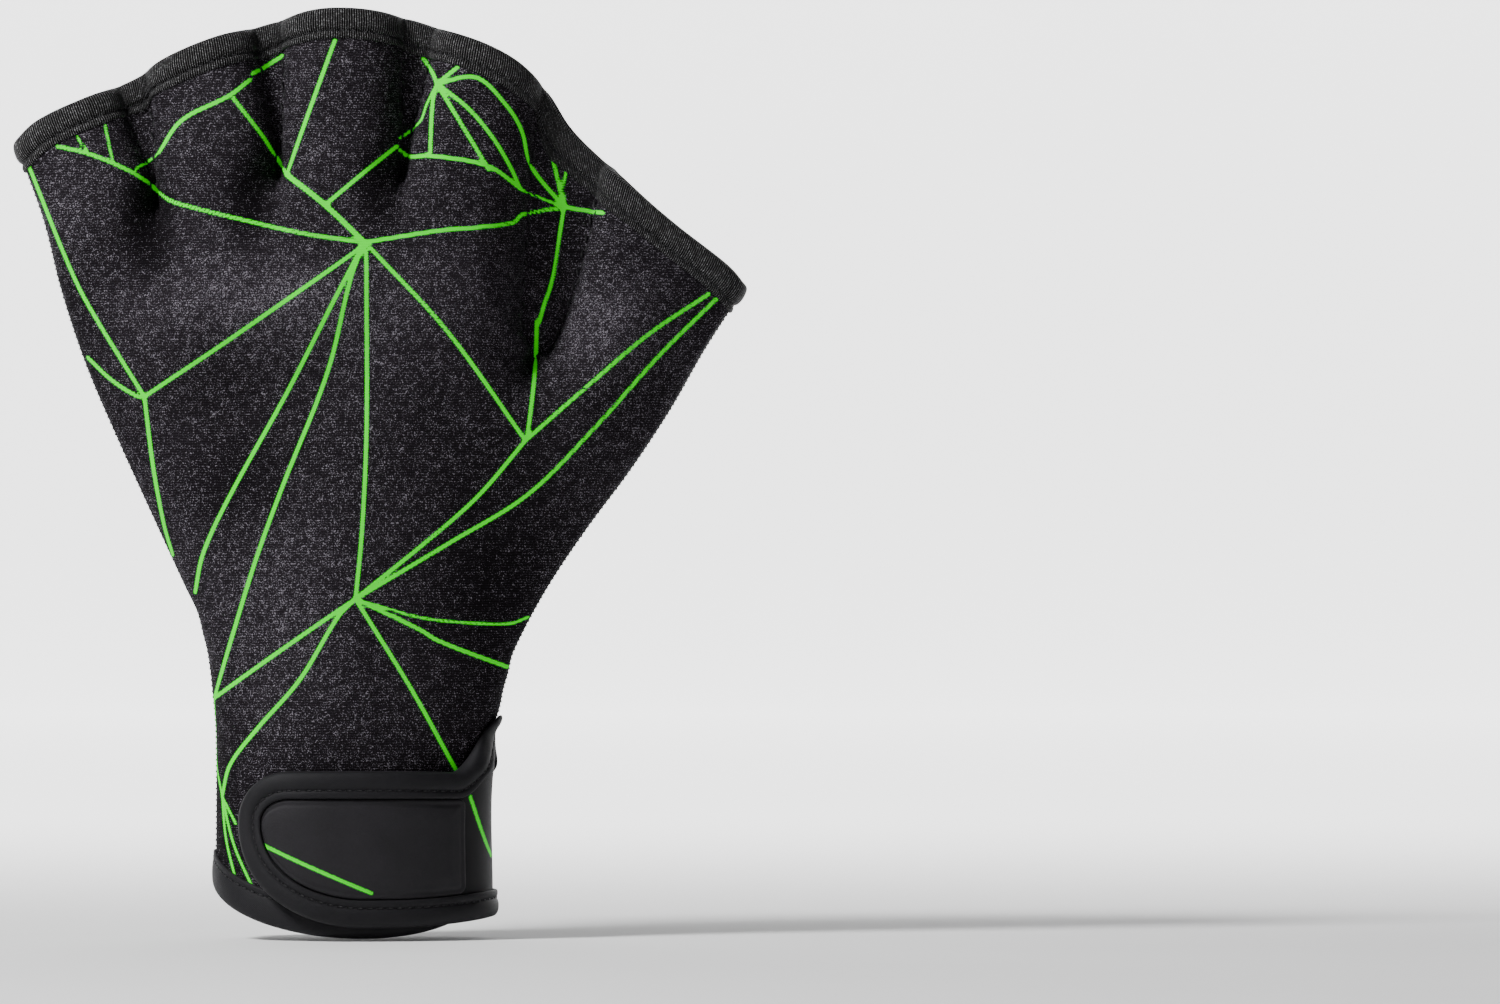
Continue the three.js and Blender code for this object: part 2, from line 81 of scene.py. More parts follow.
# %% Shader helper
class Wire:
    """One output socket of a material, on which arithmetic adds Math nodes."""

    def __init__(self, cloth, socket):
        self.cloth = cloth
        self.socket = socket

    def _math(self, operation, first, second):
        return self.cloth.node("ShaderNodeMath", {"operation": operation}, {0: first, 1: second})

    def __add__(self, other):
        return self._math("ADD", self, other)

    __radd__ = __add__

    def __sub__(self, other):
        return self._math("SUBTRACT", self, other)

    def __rsub__(self, other):
        return self._math("SUBTRACT", other, self)

    def __mul__(self, other):
        return self._math("MULTIPLY", self, other)

    __rmul__ = __mul__

    def sine(self):
        return self._math("SINE", self, 0)

    def at_most(self, other):
        return self._math("MINIMUM", self, other)

    def at_least(self, other):
        return self._math("MAXIMUM", self, other)

    def power(self, other):
        return self._math("POWER", self, other)

    def between(self, low, high):
        """Smooth step: 0 below low, 1 above high."""
        sockets = {"Value": self, "From Min": low, "From Max": high}
        settings = {"interpolation_type": "SMOOTHSTEP"}
        return self.cloth.node("ShaderNodeMapRange", settings, sockets, "Result")


class Cloth:
    """A material under construction. Its shader's constant values go on the shader's own sockets."""

    def __init__(self, name, **constants):
        self.material = bpy.data.materials.new(name)
        self.material.use_nodes = True
        self.tree = self.material.node_tree
        self.shader = self.tree.nodes["Principled BSDF"]
        for socket, value in constants.items():
            self.shader.inputs[socket.replace("_", " ")].default_value = value

    def node(self, kind, settings, sockets, output=0):
        made = self.tree.nodes.new(kind)
        for setting, value in settings.items():
            setattr(made, setting, value)
        for key, value in sockets.items():
            self.put(made.inputs[key], value)
        return Wire(self, made.outputs[output])

    def put(self, socket, value):
        if isinstance(value, Wire):
            self.tree.links.new(value.socket, socket)
        else:
            socket.default_value = value

    def place(self):
        """Object coordinates in metres."""
        return self.node("ShaderNodeTexCoord", {}, {}, "Object")

    def along_cloth(self):
        """The piece's own UV map, in millimetres along and across its cloth, as two wires."""
        flat = self.node("ShaderNodeUVMap", {"uv_map": "cloth"}, {}, "UV")
        x = self.node("ShaderNodeSeparateXYZ", {}, {0: flat}, "X")
        y = self.node("ShaderNodeSeparateXYZ", {}, {0: flat}, "Y")
        return x, y

    def noise(self, per_metre, detail=2.0, roughness=0.5):
        """Noise on object coordinates with about this many lumps in a metre."""
        sockets = {"Vector": self.place(), "Scale": per_metre, "Detail": detail, "Roughness": roughness}
        return self.node("ShaderNodeTexNoise", {}, sockets, "Fac")

    def mix(self, share, first, second):
        """A colour between two: all first at share 0, all second at 1."""
        return self.node("ShaderNodeMix", {"data_type": "RGBA"}, {0: share, 6: first, 7: second}, 2)

    def finish(self, colour, roughness, height, millimetres):
        """Joins colour, roughness and a bump of the given height to the shader."""
        self.put(self.shader.inputs["Base Color"], colour)
        self.put(self.shader.inputs["Roughness"], roughness)
        sockets = {"Strength": 1.0, "Distance": millimetres * METRE, "Height": height}
        self.put(self.shader.inputs["Normal"], self.node("ShaderNodeBump", {}, sockets, "Normal"))
        print("material", self.material.name, "with", len(self.tree.nodes), "nodes")
        return self.material


# %% [markdown]
# ## The cloths
# The panels are jersey over foam: near-black with a trace of purple, knitted in fine rows, and full of tiny
# bright fibre ends that catch the light, painted into the colour as glints. The green net is printed on
# them, and each point of the mesh will carry how far it lies from the nearest line, so the print follows the
# cloth and needs no picture. The knit rows run on the cloth's own coordinates, the fibre ends on the
# object's.

# %% Printed jersey
BLACK_JERSEY = (0.004, 0.0034, 0.0042, 1)
PALE_JERSEY = (0.026, 0.022, 0.0275, 1)
FIBRE_GLINT = (0.42, 0.39, 0.45, 1)
GREEN_INK = (0.02, 0.92, 0.0, 1)
DEEP_GREEN = (0.008, 0.58, 0.0, 1)
KNIT_ROW = 0.62
KNIT_STITCH = 0.8 * KNIT_ROW
INK_GLOW = 0.26
INK_FRAY = 0.12
FULL_TURN = 2 * np.pi
BLACK = (0, 0, 0, 1)


def inked(cloth, colour, fibres):
    """Green where line_edge is below 0, with a frayed edge. The ink also glows faintly, painted light on the
    green.
    """
    edge = cloth.node("ShaderNodeAttribute", {"attribute_name": "line_edge"}, {}, "Fac")
    ink = 1 - (edge + (fibres - 0.5) * 0.5).between(-INK_FRAY, INK_FRAY)
    green = cloth.mix(fibres, DEEP_GREEN, GREEN_INK)
    cloth.put(cloth.shader.inputs["Emission Color"], cloth.mix(ink, BLACK, green))
    return ink, cloth.mix(ink, colour, green)


def printed_jersey():
    """Knit rows and stitches as sine waves, fibre ends as painted glints at the peaks of a fine noise."""
    cloth = Cloth("printed_jersey", Specular_IOR_Level=0.02, Emission_Strength=INK_GLOW)
    u, v = cloth.along_cloth()
    wobble = cloth.noise(260, 2.0) * 1.2
    rows = (v * (FULL_TURN / KNIT_ROW) + wobble * 3).sine() * 0.5 + 0.5
    stitches = (u * (FULL_TURN / KNIT_STITCH) + wobble * 2).sine() * 0.5 + 0.5
    fibres = cloth.noise(3400, 1.0, 0.6)
    crowded = cloth.noise(520, 1.0)
    # Painted light and shade: this attribute lightens the colour and adds glints where the key light falls,
    # and darkens creases and turned-away sides; on the palm it marks wear.
    wear_and_painted_light = cloth.node("ShaderNodeAttribute", {"attribute_name": "wear_and_painted_light"}, {}, "Fac")
    glints = (fibres + rows * 0.05 + crowded * 0.2 + wear_and_painted_light * 0.06).between(0.7, 0.84)
    patches = cloth.noise(38, 3.0, 0.55)
    shade = (rows * 0.35 + stitches * 0.2 + patches * 0.55 + wear_and_painted_light * 0.35 - 0.28).at_least(0.0).at_most(1.0)
    dark = cloth.mix(shade, BLACK_JERSEY, PALE_JERSEY)
    # Painted glints: bright sparkles of the fibre ends mixed into the base colour.
    glinting = cloth.mix(glints * 0.46, dark, FIBRE_GLINT)
    ink, colour = inked(cloth, glinting, (rows * 0.25 + fibres * 0.5 + 0.35).at_most(1.0))
    roughness = 0.74 - glints * 0.3 + ink * -0.08
    height = rows * 0.3 + stitches * 0.2 + fibres * 0.5 + ink * 0.12
    return cloth.finish(colour, roughness, height, 0.14)


JERSEY = printed_jersey()

# %% [markdown]
# The tape over the tip edge is an elastic with ribs across it, and its ribs shine a little on their crowns:
# the crowns are painted light with painted glints, and the grooves are painted dark as shade.
# The wrist's tapes are smooth, dull knits. Both patterns run on the tape's own coordinates: along the edge
# in u, and round the fold in v.

# %% Tapes and plain cloths
RIB_PITCH = 0.56
TAPE_THREAD = 0.4
RIB_GROOVE, RIB_CROWN = (0.001, 0.001, 0.0011, 1), (0.074, 0.073, 0.074, 1)
RIB_GLINT = (0.34, 0.34, 0.35, 1)
THREAD_TONES = (0.004, 0.004, 0.005, 1), (0.03, 0.03, 0.032, 1)


def ribbed_tape():
    """Ribs across the tape as a sine of the way along it, with fine threads between."""
    cloth = Cloth("ribbed_tape", Specular_IOR_Level=0.05)
    u, v = cloth.along_cloth()
    uneven = cloth.noise(420, 2.0)
    ribs = (u * (FULL_TURN / RIB_PITCH) + uneven * 1.6).sine() * 0.5 + 0.5
    threads = (v * (FULL_TURN / TAPE_THREAD) + uneven * 2).sine() * 0.5 + 0.5
    # Painted glints on the rib crowns, painted highlight on the crowns and painted shade in the grooves; the
    # threads and the unevenness are the tape's own tone.
    rib_glints = (cloth.noise(3000, 1.0) + ribs * 0.12).between(0.62, 0.78)
    shade = (ribs.power(4.0) * 1.2 + threads * 0.15 + uneven * 0.4 - 0.32).at_least(0.0).at_most(1.0)
    colour = cloth.mix(shade, RIB_GROOVE, RIB_CROWN)
    colour = cloth.mix(rib_glints * ribs * 0.6, colour, RIB_GLINT)
    roughness = 0.58 - ribs * 0.2 + uneven * 0.12
    return cloth.finish(colour, roughness, ribs * 0.8 + threads * 0.2, 0.24)


def smooth_knit(name, dark, light, pitch, rough, bump, printed):
    """A dull fine knit: two slanted sine waves, patchy with soft noise, and printed if asked."""
    cloth = Cloth(name, Specular_IOR_Level=0.14, Emission_Strength=INK_GLOW)
    u, v = cloth.along_cloth()
    soft = cloth.noise(90, 3.0)
    fine = cloth.noise(2600, 2.0, 0.6)
    wale = ((u + v) * (FULL_TURN / pitch) + soft * 3).sine() * 0.5 + 0.5
    course = ((u - v) * (FULL_TURN / pitch) + soft * 3).sine() * 0.5 + 0.5
    shade = (wale * 0.2 + course * 0.2 + soft * 0.5 + fine * 0.4 - 0.25).at_least(0.0).at_most(1.0)
    colour = cloth.mix(shade, dark, light)
    cloth.put(cloth.shader.inputs["Emission Color"], BLACK)
    if printed:
        _, colour = inked(cloth, colour, fine)
    roughness = rough + fine * 0.15 - wale * 0.05
    return cloth.finish(colour, roughness, wale * 0.3 + course * 0.3 + fine * 0.4, bump)


def thread_finish():
    """Black thread: a fine noise on object coordinates, for strands too small to draw."""
    cloth = Cloth("black_thread", Specular_IOR_Level=0.2)
    strands = cloth.noise(2400, 1.0)
    fuzz = cloth.noise(700, 2.0)
    colour = cloth.mix(strands, *THREAD_TONES)
    return cloth.finish(colour, 0.42 + fuzz * 0.2, strands, 0.05)


RIBBED = ribbed_tape()
TAPE_PITCH = 0.42
TAPE_TONES = (0.005, 0.005, 0.006, 1), (0.022, 0.021, 0.024, 1)
LABEL_TONES = (0.01, 0.0094, 0.0108, 1), (0.03, 0.0283, 0.0325, 1)
STRAP_TONES = (0.004, 0.0038, 0.0046, 1), (0.016, 0.015, 0.0175, 1)
HOOK_TONES = (0.004, 0.004, 0.005, 1), (0.016, 0.016, 0.018, 1)
SMOOTH = smooth_knit("smooth_tape", *TAPE_TONES, TAPE_PITCH, 0.5, 0.07, False)
LABEL = smooth_knit("label_field", *LABEL_TONES, 0.36, 0.5, 0.05, True)
STRAP = smooth_knit("strap_field", *STRAP_TONES, 0.4, 0.55, 0.06, True)
HOOKS = smooth_knit("hook_field", *HOOK_TONES, 1.1, 0.6, 0.3, False)
THREAD = thread_finish()

# %% [markdown]
# ## From arrays to meshes
# Every piece is a grid of points that numpy works out at once. This helper takes the points, the faces as
# index arrays and the cloth's coordinates, and fills the mesh with `foreach_set`, which copies whole arrays
# and is far faster than adding vertices one at a time.


# %% Mesh helper
def make_piece(name, points, faces, flat, cloth, slot, node=None, rounds=(None, None), **attributes):
    """A mesh object from points in millimetres. faces is a list of index arrays, one for each face size.

    Where the cloth runs once round, rounds holds its length that way, and faces across the join get
    coordinates that carry on instead of starting again at 0. Attributes are values for each point.
    """
    corners, sizes, uv = [], [], []
    for group in faces:
        group = np.asarray(group)
        place = flat[group].copy()
        for axis, length in enumerate(rounds):
            if length:
                ahead = place[..., axis].max(1, keepdims=True) - place[..., axis] > length / 2
                place[..., axis] += ahead * length
        corners.append(group.ravel())
        sizes.append(np.full(len(group), group.shape[1]))
        uv.append(place.reshape(-1, 2))
    corners, sizes, uv = np.concatenate(corners), np.concatenate(sizes), np.concatenate(uv)
    mesh = bpy.data.meshes.new(name)
    mesh.vertices.add(len(points))
    mesh.vertices.foreach_set("co", (points * METRE).astype(np.float32).ravel())
    mesh.loops.add(len(corners))
    mesh.loops.foreach_set("vertex_index", corners.astype(np.int32))
    mesh.polygons.add(len(sizes))
    mesh.polygons.foreach_set("loop_start", (np.cumsum(sizes) - sizes).astype(np.int32))
    mesh.update(calc_edges=True)
    mesh.polygons.foreach_set("use_smooth", np.ones(len(sizes), dtype=bool))
    mesh.uv_layers.new(name="cloth").data.foreach_set("uv", uv.astype(np.float32).ravel())
    for key, values in attributes.items():
        mesh.attributes.new(key, "FLOAT", "POINT").data.foreach_set("value", values.astype(np.float32))
    mesh.materials.append(cloth)
    piece = bpy.data.objects.new(name, mesh)
    bpy.context.collection.objects.link(piece)
    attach(piece, BODY)
    if node:
        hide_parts(node)
    print(name, "has", int((sizes - 2).sum()), "triangles")
    return piece


def grid_quads(columns, rows, wrap_columns=False, wrap_rows=False, start=0):
    """Quads of a grid whose point (i, j) has the index i * rows + j, closed round either way if asked."""
    i = np.arange(columns if wrap_columns else columns - 1)
    j = np.arange(rows if wrap_rows else rows - 1)
    i, j = np.meshgrid(i, j, indexing="ij")
    i, j = i.ravel(), j.ravel()
    right, over = (i + 1) % columns, (j + 1) % rows
    return start + np.stack([i * rows + j, right * rows + j, right * rows + over, i * rows + over], 1)


def border(columns, rows, start):
    """Indices round the border of such a grid, along its first row of points to begin with."""
    index = start + np.arange(columns * rows).reshape(columns, rows)
    return np.concatenate([index[:-1, 0], index[-1, :-1], index[:0:-1, -1], index[0, :0:-1]])


def end_fans(stations, count):
    """Triangles from the first and the last ring of a tube to the two points that follow its rings."""
    k = np.arange(count)
    after = (k + 1) % count
    first = np.stack([k, after, np.full(count, stations * count)], 1)
    last = np.stack([after, k, np.full(count, stations * count + 1)], 1)
    last[:, :2] += (stations - 1) * count
    return np.concatenate([first, last])


# %% [markdown]
# A few sums come back in every step below, so each has one function: lengths along rows of points, the soft
# step that blends one form into another, and the area and the flat size of a grid as cut cloth.


# %% Small sums
TINY = 1e-9


def unit(vectors):
    """Vectors divided by their lengths."""
    return vectors / np.maximum(np.linalg.norm(vectors, axis=-1, keepdims=True), TINY)


def ease(value, start, end):
    """Smooth step from 0 at start to 1 at end."""
    share = np.clip((value - start) / (end - start), 0, 1)
    return share * share * (3 - 2 * share)


def gone_along(points):
    """Way gone along a row of points, from 0 at the first."""
    return np.concatenate([[0], np.cumsum(np.linalg.norm(np.diff(points, axis=0), axis=1))])


def on_row(points, gone, spots):
    """Points at distances along a row of points, by linear interpolation."""
    return np.stack([np.interp(spots, gone, column) for column in points.T], 1)


def grid_area(grid):
    """Area of a grid in mm2: the cross product of two sides of each of its cells, summed."""
    a, b = grid[1:, :-1] - grid[:-1, :-1], grid[:-1, 1:] - grid[:-1, :-1]
    return float(np.linalg.norm(np.cross(a, b), axis=-1).sum())


# %% [markdown]
# ## The skin
# All pieces lie on one surface: the outside of a glove with a hand in it. It could be sculpted, but then
# tape and stitches would have to be fitted to it by eye. Instead it is a formula of two numbers, across the
# hand and up it, the same formula as the CAD's: a rounded section with the forms of the hand on it, drawn
# in at four webs. The tables hold shares of the glove's sizes, one row to a place. They are the CAD's too,
# but for the thumb's side just above the strap, which runs straight down into it as in the photograph.

# %% Sizes and tables of the skin
WRIST_WIDTH = 63.6
WRIST_DEPTH = 46
FAN_HEIGHT = 215.2
PINKY_REACH = 48.7
THUMB_REACH = 63.8
FINGER_LEAN = 10
THUMB_TUCK = 7
NEOPRENE = 2.2
HEM_PINKY_SIDE = 5.9
HEM_THUMB_SIDE = 2.2
HEM_SAG = {-1: 10.8, 1: 3}
CHANNEL_SHOULDER = 12
CHANNEL_ROUNDNESS = 2.1
CREASE_WIDTH = 1.2
SOFT_BELOW = 0.07
SOFT_FADE = 8
PANEL_GAP = 0.03
TAPED_ROOM = 1.0
CROWN_ACROSS = {-1: 0.44, 1: 0.54}
SOFT_WALL_POWER = 1.5
TUCK_ACROSS = (0.6, 1)
TUCK_RISE = (0.25, 0.7)


def table(names, *rows):
    """A table with named columns, as arrays."""
    return dict(zip(names.split(), np.array(rows, float).T))


SIDES = table(
    "rise pinky thumb",
    (0.0, 0.0, -0.021),
    (0.2, 0.0, -0.019),
    (0.275, 0.024, 0.038),
    (0.295, 0.033, 0.066),
    (0.315, 0.045, 0.079),
    (0.335, 0.064, 0.088),
    (0.365, 0.092, 0.107),
    (0.4, 0.153, 0.128),
    (0.5, 0.322, 0.248),
    (0.6, 0.489, 0.4),
    (0.7, 0.645, 0.57),
    (0.8, 0.768, 0.721),
    (0.9, 0.864, 0.852),
    (1.0, 1.0, 1.0),
)
TIP_EDGE = table(
    "across height",
    (0.0, 0.85),
    (0.03, 0.873),
    (0.1, 0.9),
    (0.165, 0.92),
    (0.2, 0.941),
    (0.278, 0.968),
    (0.345, 0.981),
    (0.4, 0.996),
    (0.443, 1.0),
    (0.5, 0.996),
    (0.555, 0.983),
    (0.65, 0.958),
    (0.71, 0.925),
    (0.754, 0.868),
    (0.816, 0.819),
    (0.9, 0.76),
    (0.975, 0.712),
    (1.0, 0.69),
)
SECTIONS = table(
    "rise back palm lean square",
    (0.0, 1.0, 1.0, 0.0, 2.0),
    (0.15, 0.97, 1.0, 0.0, 2.0),
    (0.3, 0.88, 0.97, 0.0, 2.1),
    (0.45, 0.78, 0.9, 0.0, 2.2),
    (0.57, 0.77, 0.8, 0.02, 2.3),
    (0.68, 0.81, 0.7, 0.1, 2.5),
    (0.8, 0.74, 0.61, 0.34, 2.9),
    (0.9, 0.6, 0.53, 0.65, 3.5),
    (1.0, 0.48, 0.47, 1.0, 4.2),
)
WEBS = [
    dict(across=0.1605, drift=0.004, width=8.4, crotch=0.872, fade={-1: 0.68, 1: 0.8}, taper=0.9),
    dict(across=0.3465, drift=0.011, width=8.2, crotch=0.848, fade={-1: 0.72, 1: 0.78}, taper=0.9),
    dict(across=0.553, drift=0.001, width=9.2, crotch=0.85, fade={-1: 0.72, 1: 0.78}, taper=0.9),
    dict(across=0.7625, drift=0.034, width=16.0, crotch=0.752, fade={-1: 0.6, 1: 0.68}, taper=0.3),
]
FORMS = table(
    "side across rise wide tall height",
    (-1, 0.13, 0.74, 0.07, 0.07, 0.07),
    (-1, 0.27, 0.7, 0.07, 0.06, 0.08),
    (-1, 0.45, 0.7, 0.08, 0.06, 0.06),
    (-1, 0.64, 0.72, 0.07, 0.07, 0.05),
    (-1, 0.3, 0.56, 0.2, 0.06, -0.05),
    (1, 0.74, 0.42, 0.14, 0.13, 0.16),
    (1, 0.22, 0.4, 0.12, 0.14, 0.1),
    (1, 0.48, 0.5, 0.1, 0.14, -0.1),
)
print("webs:", len(WEBS), "forms of the hand:", len(FORMS["side"]))

# %% [markdown]
# The scene can be finer than the solids. Each row of web stitches draws the cloth in, so between two
# stitches it swells a little: a cosine along the row, gone three millimetres away from it. Long soft folds
# and creases are bumps and hollows across a line from one place to another, steeper on one side if wanted.

# %% Puckers and folds
PUCKER_PITCH = 3.3
PUCKER_DEPTH = 0.34
PUCKER_REACH = 2.2
PUCKER_BELOW = 0.03
PUCKER_FROM, PUCKER_TO = -3, 0.5
FOLD_RUN_OUT = 8
FOLD_EASE = 0.3
FOLDS = table(
    "side x0 z0 x1 z1 left right high",
    (-1, -46.0, 171, -40.6, 153, 8.0, 1.2, -3.0),
    (-1, -17.0, 179, -15.6, 164.5, 7.0, 1.1, -2.3),
    (-1, 13.8, 179.5, 13.2, 165.5, 7.0, 1.1, -2.3),
    (-1, 45, 138, 40, 118, 4.0, 4.0, -0.8),
    (-1, 78, 152, 55, 110, 8.0, 8.0, 4.4),
    (-1, -50, 141, 6, 146, 8.0, 8.0, 2.8),
    (-1, -44, 119, 6, 122, 9.0, 9.0, -2.0),
    (-1, 1, 104, 0, 44, 11.0, 11.0, 1.4),
    (-1, -24, 70, 6, 60, 7.0, 7.0, -0.35),
    (-1, -10, 46, 22, 44, 5.0, 5.0, 0.35),
    (1, 20, 60, 44, 92, 6.0, 6.0, -0.9),
    (1, -44, 120, 30, 128, 4.0, 4.0, -0.6),
    (1, -34, 104, 10, 96, 4.0, 4.0, -0.5),
)
print("folds and creases:", len(FOLDS["side"]))

# %% [markdown]
# Values between two rows of a table come from a cubic curve, since straight steps would show as kinks in
# the cloth. With it come the ends of a row across the hand, the hanging hem and the edges of a web.


# %% Curves through the tables
def along(rows, key, column, at):
    """Cubic curve through a column: its slope at each row is that from the row before to the row after."""
    x, y = rows[key], rows[column]
    at = np.clip(at, x[0], x[-1])
    before = np.maximum(np.arange(len(x)) - 1, 0)
    after = np.minimum(np.arange(len(x)) + 1, len(x) - 1)
    slope = (y[after] - y[before]) / (x[after] - x[before])
    i = np.clip(np.searchsorted(x, at, side="left") - 1, 0, len(x) - 2)
    step = x[i + 1] - x[i]
    f = (at - x[i]) / step
    g = 1 - f
    start = (1 + 2 * f) * g * g * y[i] + f * g * g * step * slope[i]
    return start + f * f * (3 - 2 * f) * y[i + 1] - f * f * g * step * slope[i + 1]


def row_ends(rise):
    """x of the little finger's side and of the thumb's side at a rise."""
    pinky = -WRIST_WIDTH / 2 - PINKY_REACH * along(SIDES, "rise", "pinky", rise)
    return pinky, WRIST_WIDTH / 2 + THUMB_REACH * along(SIDES, "rise", "thumb", rise)


def hem_height(side, across):
    """The hem hangs between the side seams like half an ellipse."""
    sag = np.where(side < 0, HEM_SAG[-1], HEM_SAG[1])
    level = HEM_PINKY_SIDE + (HEM_THUMB_SIDE - HEM_PINKY_SIDE) * across
    return level - sag * 2 * np.sqrt(np.maximum(0, across * (1 - across)))


def web_at(web, rise):
    """Middle and half width of a web: full at the tip edge, drawn in to a crease at its crotch."""
    share = np.clip((rise - web["crotch"]) / (1 - web["crotch"]), 0, 1)
    middle = web["across"] + web["drift"] * (1 - share)
    return middle, np.maximum(CREASE_WIDTH, web["width"] * share ** web["taper"]) / 2


print("hem at the middle of the back:", round(float(hem_height(np.array(-1), 0.5)), 1), "mm")

# %% [markdown]
# How far the skin stands out is a sum: half a rounded section, the hand's forms, less the pull of the
# nearest web. A web's wall is a steep round shoulder where it is sewn, and a soft one below its crotch.


# %% Depth of the skin
def fold_depth(side, x, z):
    """Sum of the folds of one side: a bell curve across each line, eased out at both its ends."""
    total = np.zeros_like(x)
    for k in np.flatnonzero(FOLDS["side"] == side):
        run = np.array([FOLDS["x1"][k] - FOLDS["x0"][k], FOLDS["z1"][k] - FOLDS["z0"][k]])
        length = np.hypot(*run)
        gone = ((x - FOLDS["x0"][k]) * run[0] + (z - FOLDS["z0"][k]) * run[1]) / length
        beside = ((z - FOLDS["z0"][k]) * run[0] - (x - FOLDS["x0"][k]) * run[1]) / length
        wide = np.where(beside < 0, FOLDS["left"][k], FOLDS["right"][k])
        starts = ease(gone, -FOLD_RUN_OUT, length * FOLD_EASE)
        stops = ease(gone, length * (1 - FOLD_EASE), length + FOLD_RUN_OUT)
        total = total + FOLDS["high"][k] * starts * (1 - stops) * np.exp(-((beside / wide) ** 2))
    return total


def one_depth(side, across, rise):
    """Half a rounded section, plus the hand's forms as bell curves, less the pull of the nearest web."""
    name = "back" if side < 0 else "palm"
    half = WRIST_DEPTH / 2 * along(SECTIONS, "rise", name, rise)
    power = along(SECTIONS, "rise", "square", rise)
    crown = CROWN_ACROSS[side]
    off = np.abs(across - crown) / np.where(across < crown, crown, 1 - crown)
    rounded = (1 - np.minimum(1, off) ** power) ** (1 / power)
    depth = half * rounded
    for k in np.flatnonzero(FORMS["side"] == side):
        u = (across - FORMS["across"][k]) / FORMS["wide"][k]
        v = (rise - FORMS["rise"][k]) / FORMS["tall"][k]
        depth = depth + WRIST_DEPTH / 2 * FORMS["height"][k] * rounded * np.exp(-(u * u + v * v) / 2)
    pinky, thumb = row_ends(rise)
    pull = np.zeros_like(depth)
    pucker = np.zeros_like(depth)
    for web in WEBS:
        middle, web_half = web_at(web, rise)
        away = np.abs(across - middle) * (thumb - pinky) - web_half
        share = np.clip(away / CHANNEL_SHOULDER, 0, 1)
        steep = 1 - (1 - (1 - share) ** CHANNEL_ROUNDNESS) ** (1 / CHANNEL_ROUNDNESS)
        sewn = ease(rise, web["crotch"] - SOFT_BELOW, web["crotch"])
        wall = steep * sewn + (1 - ease(share, 0, 1)) ** SOFT_WALL_POWER * (1 - sewn)
        floor = NEOPRENE + PANEL_GAP + ease(rise, web["crotch"], 1) * TAPED_ROOM
        fading = ease(rise, web["fade"][side], web["crotch"]) ** SOFT_FADE
        drawn = np.maximum(0, depth - floor) * wall * fading
        pull = np.maximum(pull, drawn)
        swell = 0.5 + 0.5 * np.cos(FULL_TURN * rise * FAN_HEIGHT / PUCKER_PITCH)
        near = np.exp(-((away / PUCKER_REACH) ** 2)) * ease(away, PUCKER_FROM, PUCKER_TO)
        near = near * ease(rise, web["crotch"] - PUCKER_BELOW, web["crotch"])
        pucker = np.maximum(pucker, PUCKER_DEPTH * swell * near)
    x = pinky + (thumb - pinky) * across
    z = hem_height(np.array(side), across) * (1 - rise) + FAN_HEIGHT * rise * along(
        TIP_EDGE, "across", "height", across
    )
    return depth - pull + pucker + fold_depth(side, x, z) * rounded**2


def skin_point(side, across, rise, gap=PANEL_GAP):
    """A point of the skin, across from the little finger's side (0) and up from the hem (0) to the tip."""
    side, across, rise = np.broadcast_arrays(side, across, rise)
    depth = np.where(side < 0, one_depth(-1, across, rise), one_depth(1, across, rise))
    pinky, thumb = row_ends(rise)
    hem = hem_height(side, across)
    tip = FAN_HEIGHT * along(TIP_EDGE, "across", "height", across)
    tuck = THUMB_TUCK * ease(across, *TUCK_ACROSS) * ease(rise, *TUCK_RISE)
    middle = FINGER_LEAN * along(SECTIONS, "rise", "lean", rise) + tuck
    x = pinky + (thumb - pinky) * across
    z = hem + (tip - hem) * rise
    return np.stack([x, middle + np.sign(side) * (gap + depth), z], -1)


hand_depth = skin_point(1, 0.5, 0.5)[1] - skin_point(-1, 0.5, 0.5)[1]
print("glove filled to", round(float(hand_depth), 1), "mm at the middle of the hand")

# %% [markdown]
# ## Round the hand in one ring
# Tape and seams run round the glove, over the back and home over the palm. So the columns of the grid form
# one closed ring, close together beside each web, where the cloth turns sharply. A column keeps its place
# between two web edges as those edges slant, so the grid follows the stitch rows. The way out of the cloth
# is the cross product of the way along the ring and the way up the column.

# %% Columns of the ring
CHANNEL_STEPS = 44
WEB_STEPS = (8, 8, 8, 16)
CROWDING = 0.55
SMALL_RISE = 0.002


def ring_columns():
    """Band and share of each column on the back, then the same columns back again over the palm."""
    band, share = [np.array([0])], [np.array([0.0])]
    for k, steps in enumerate([s for web in WEB_STEPS for s in (CHANNEL_STEPS, web)] + [CHANNEL_STEPS]):
        part = np.arange(1, steps + 1) / steps
        closer = part if k % 2 else (1 - CROWDING) * part + CROWDING * (1 - np.cos(np.pi * part)) / 2
        band.append(np.full(steps, k))
        share.append(closer)
    band, share = np.concatenate(band), np.concatenate(share)
    side = np.full(len(band), -1)
    return (
        np.concatenate([band, band[-2:0:-1]]),
        np.concatenate([share, share[-2:0:-1]]),
        np.concatenate([side, np.ones(len(band) - 2, int)]),
        len(band) - 1,
    )


BAND, SHARE, SIDE, LAST_COLUMN = ring_columns()
RING = len(BAND)


def ring_point(which, rise):
    """Skin points of ring columns at a rise each: a column lies at its share between two web edges."""
    which, rise = np.broadcast_arrays(which, rise)
    edges = [np.zeros_like(rise)]
    pinky, thumb = row_ends(rise)
    for web in WEBS:
        middle, half = web_at(web, rise)
        edges += [middle - half / (thumb - pinky), middle + half / (thumb - pinky)]
    edges = np.stack(edges + [np.ones_like(rise)], -1)
    band = BAND[which][..., None]
    low = np.take_along_axis(edges, band, -1)[..., 0]
    high = np.take_along_axis(edges, band + 1, -1)[..., 0]
    across = low + (high - low) * SHARE[which]
    return skin_point(SIDE[which], across, rise)


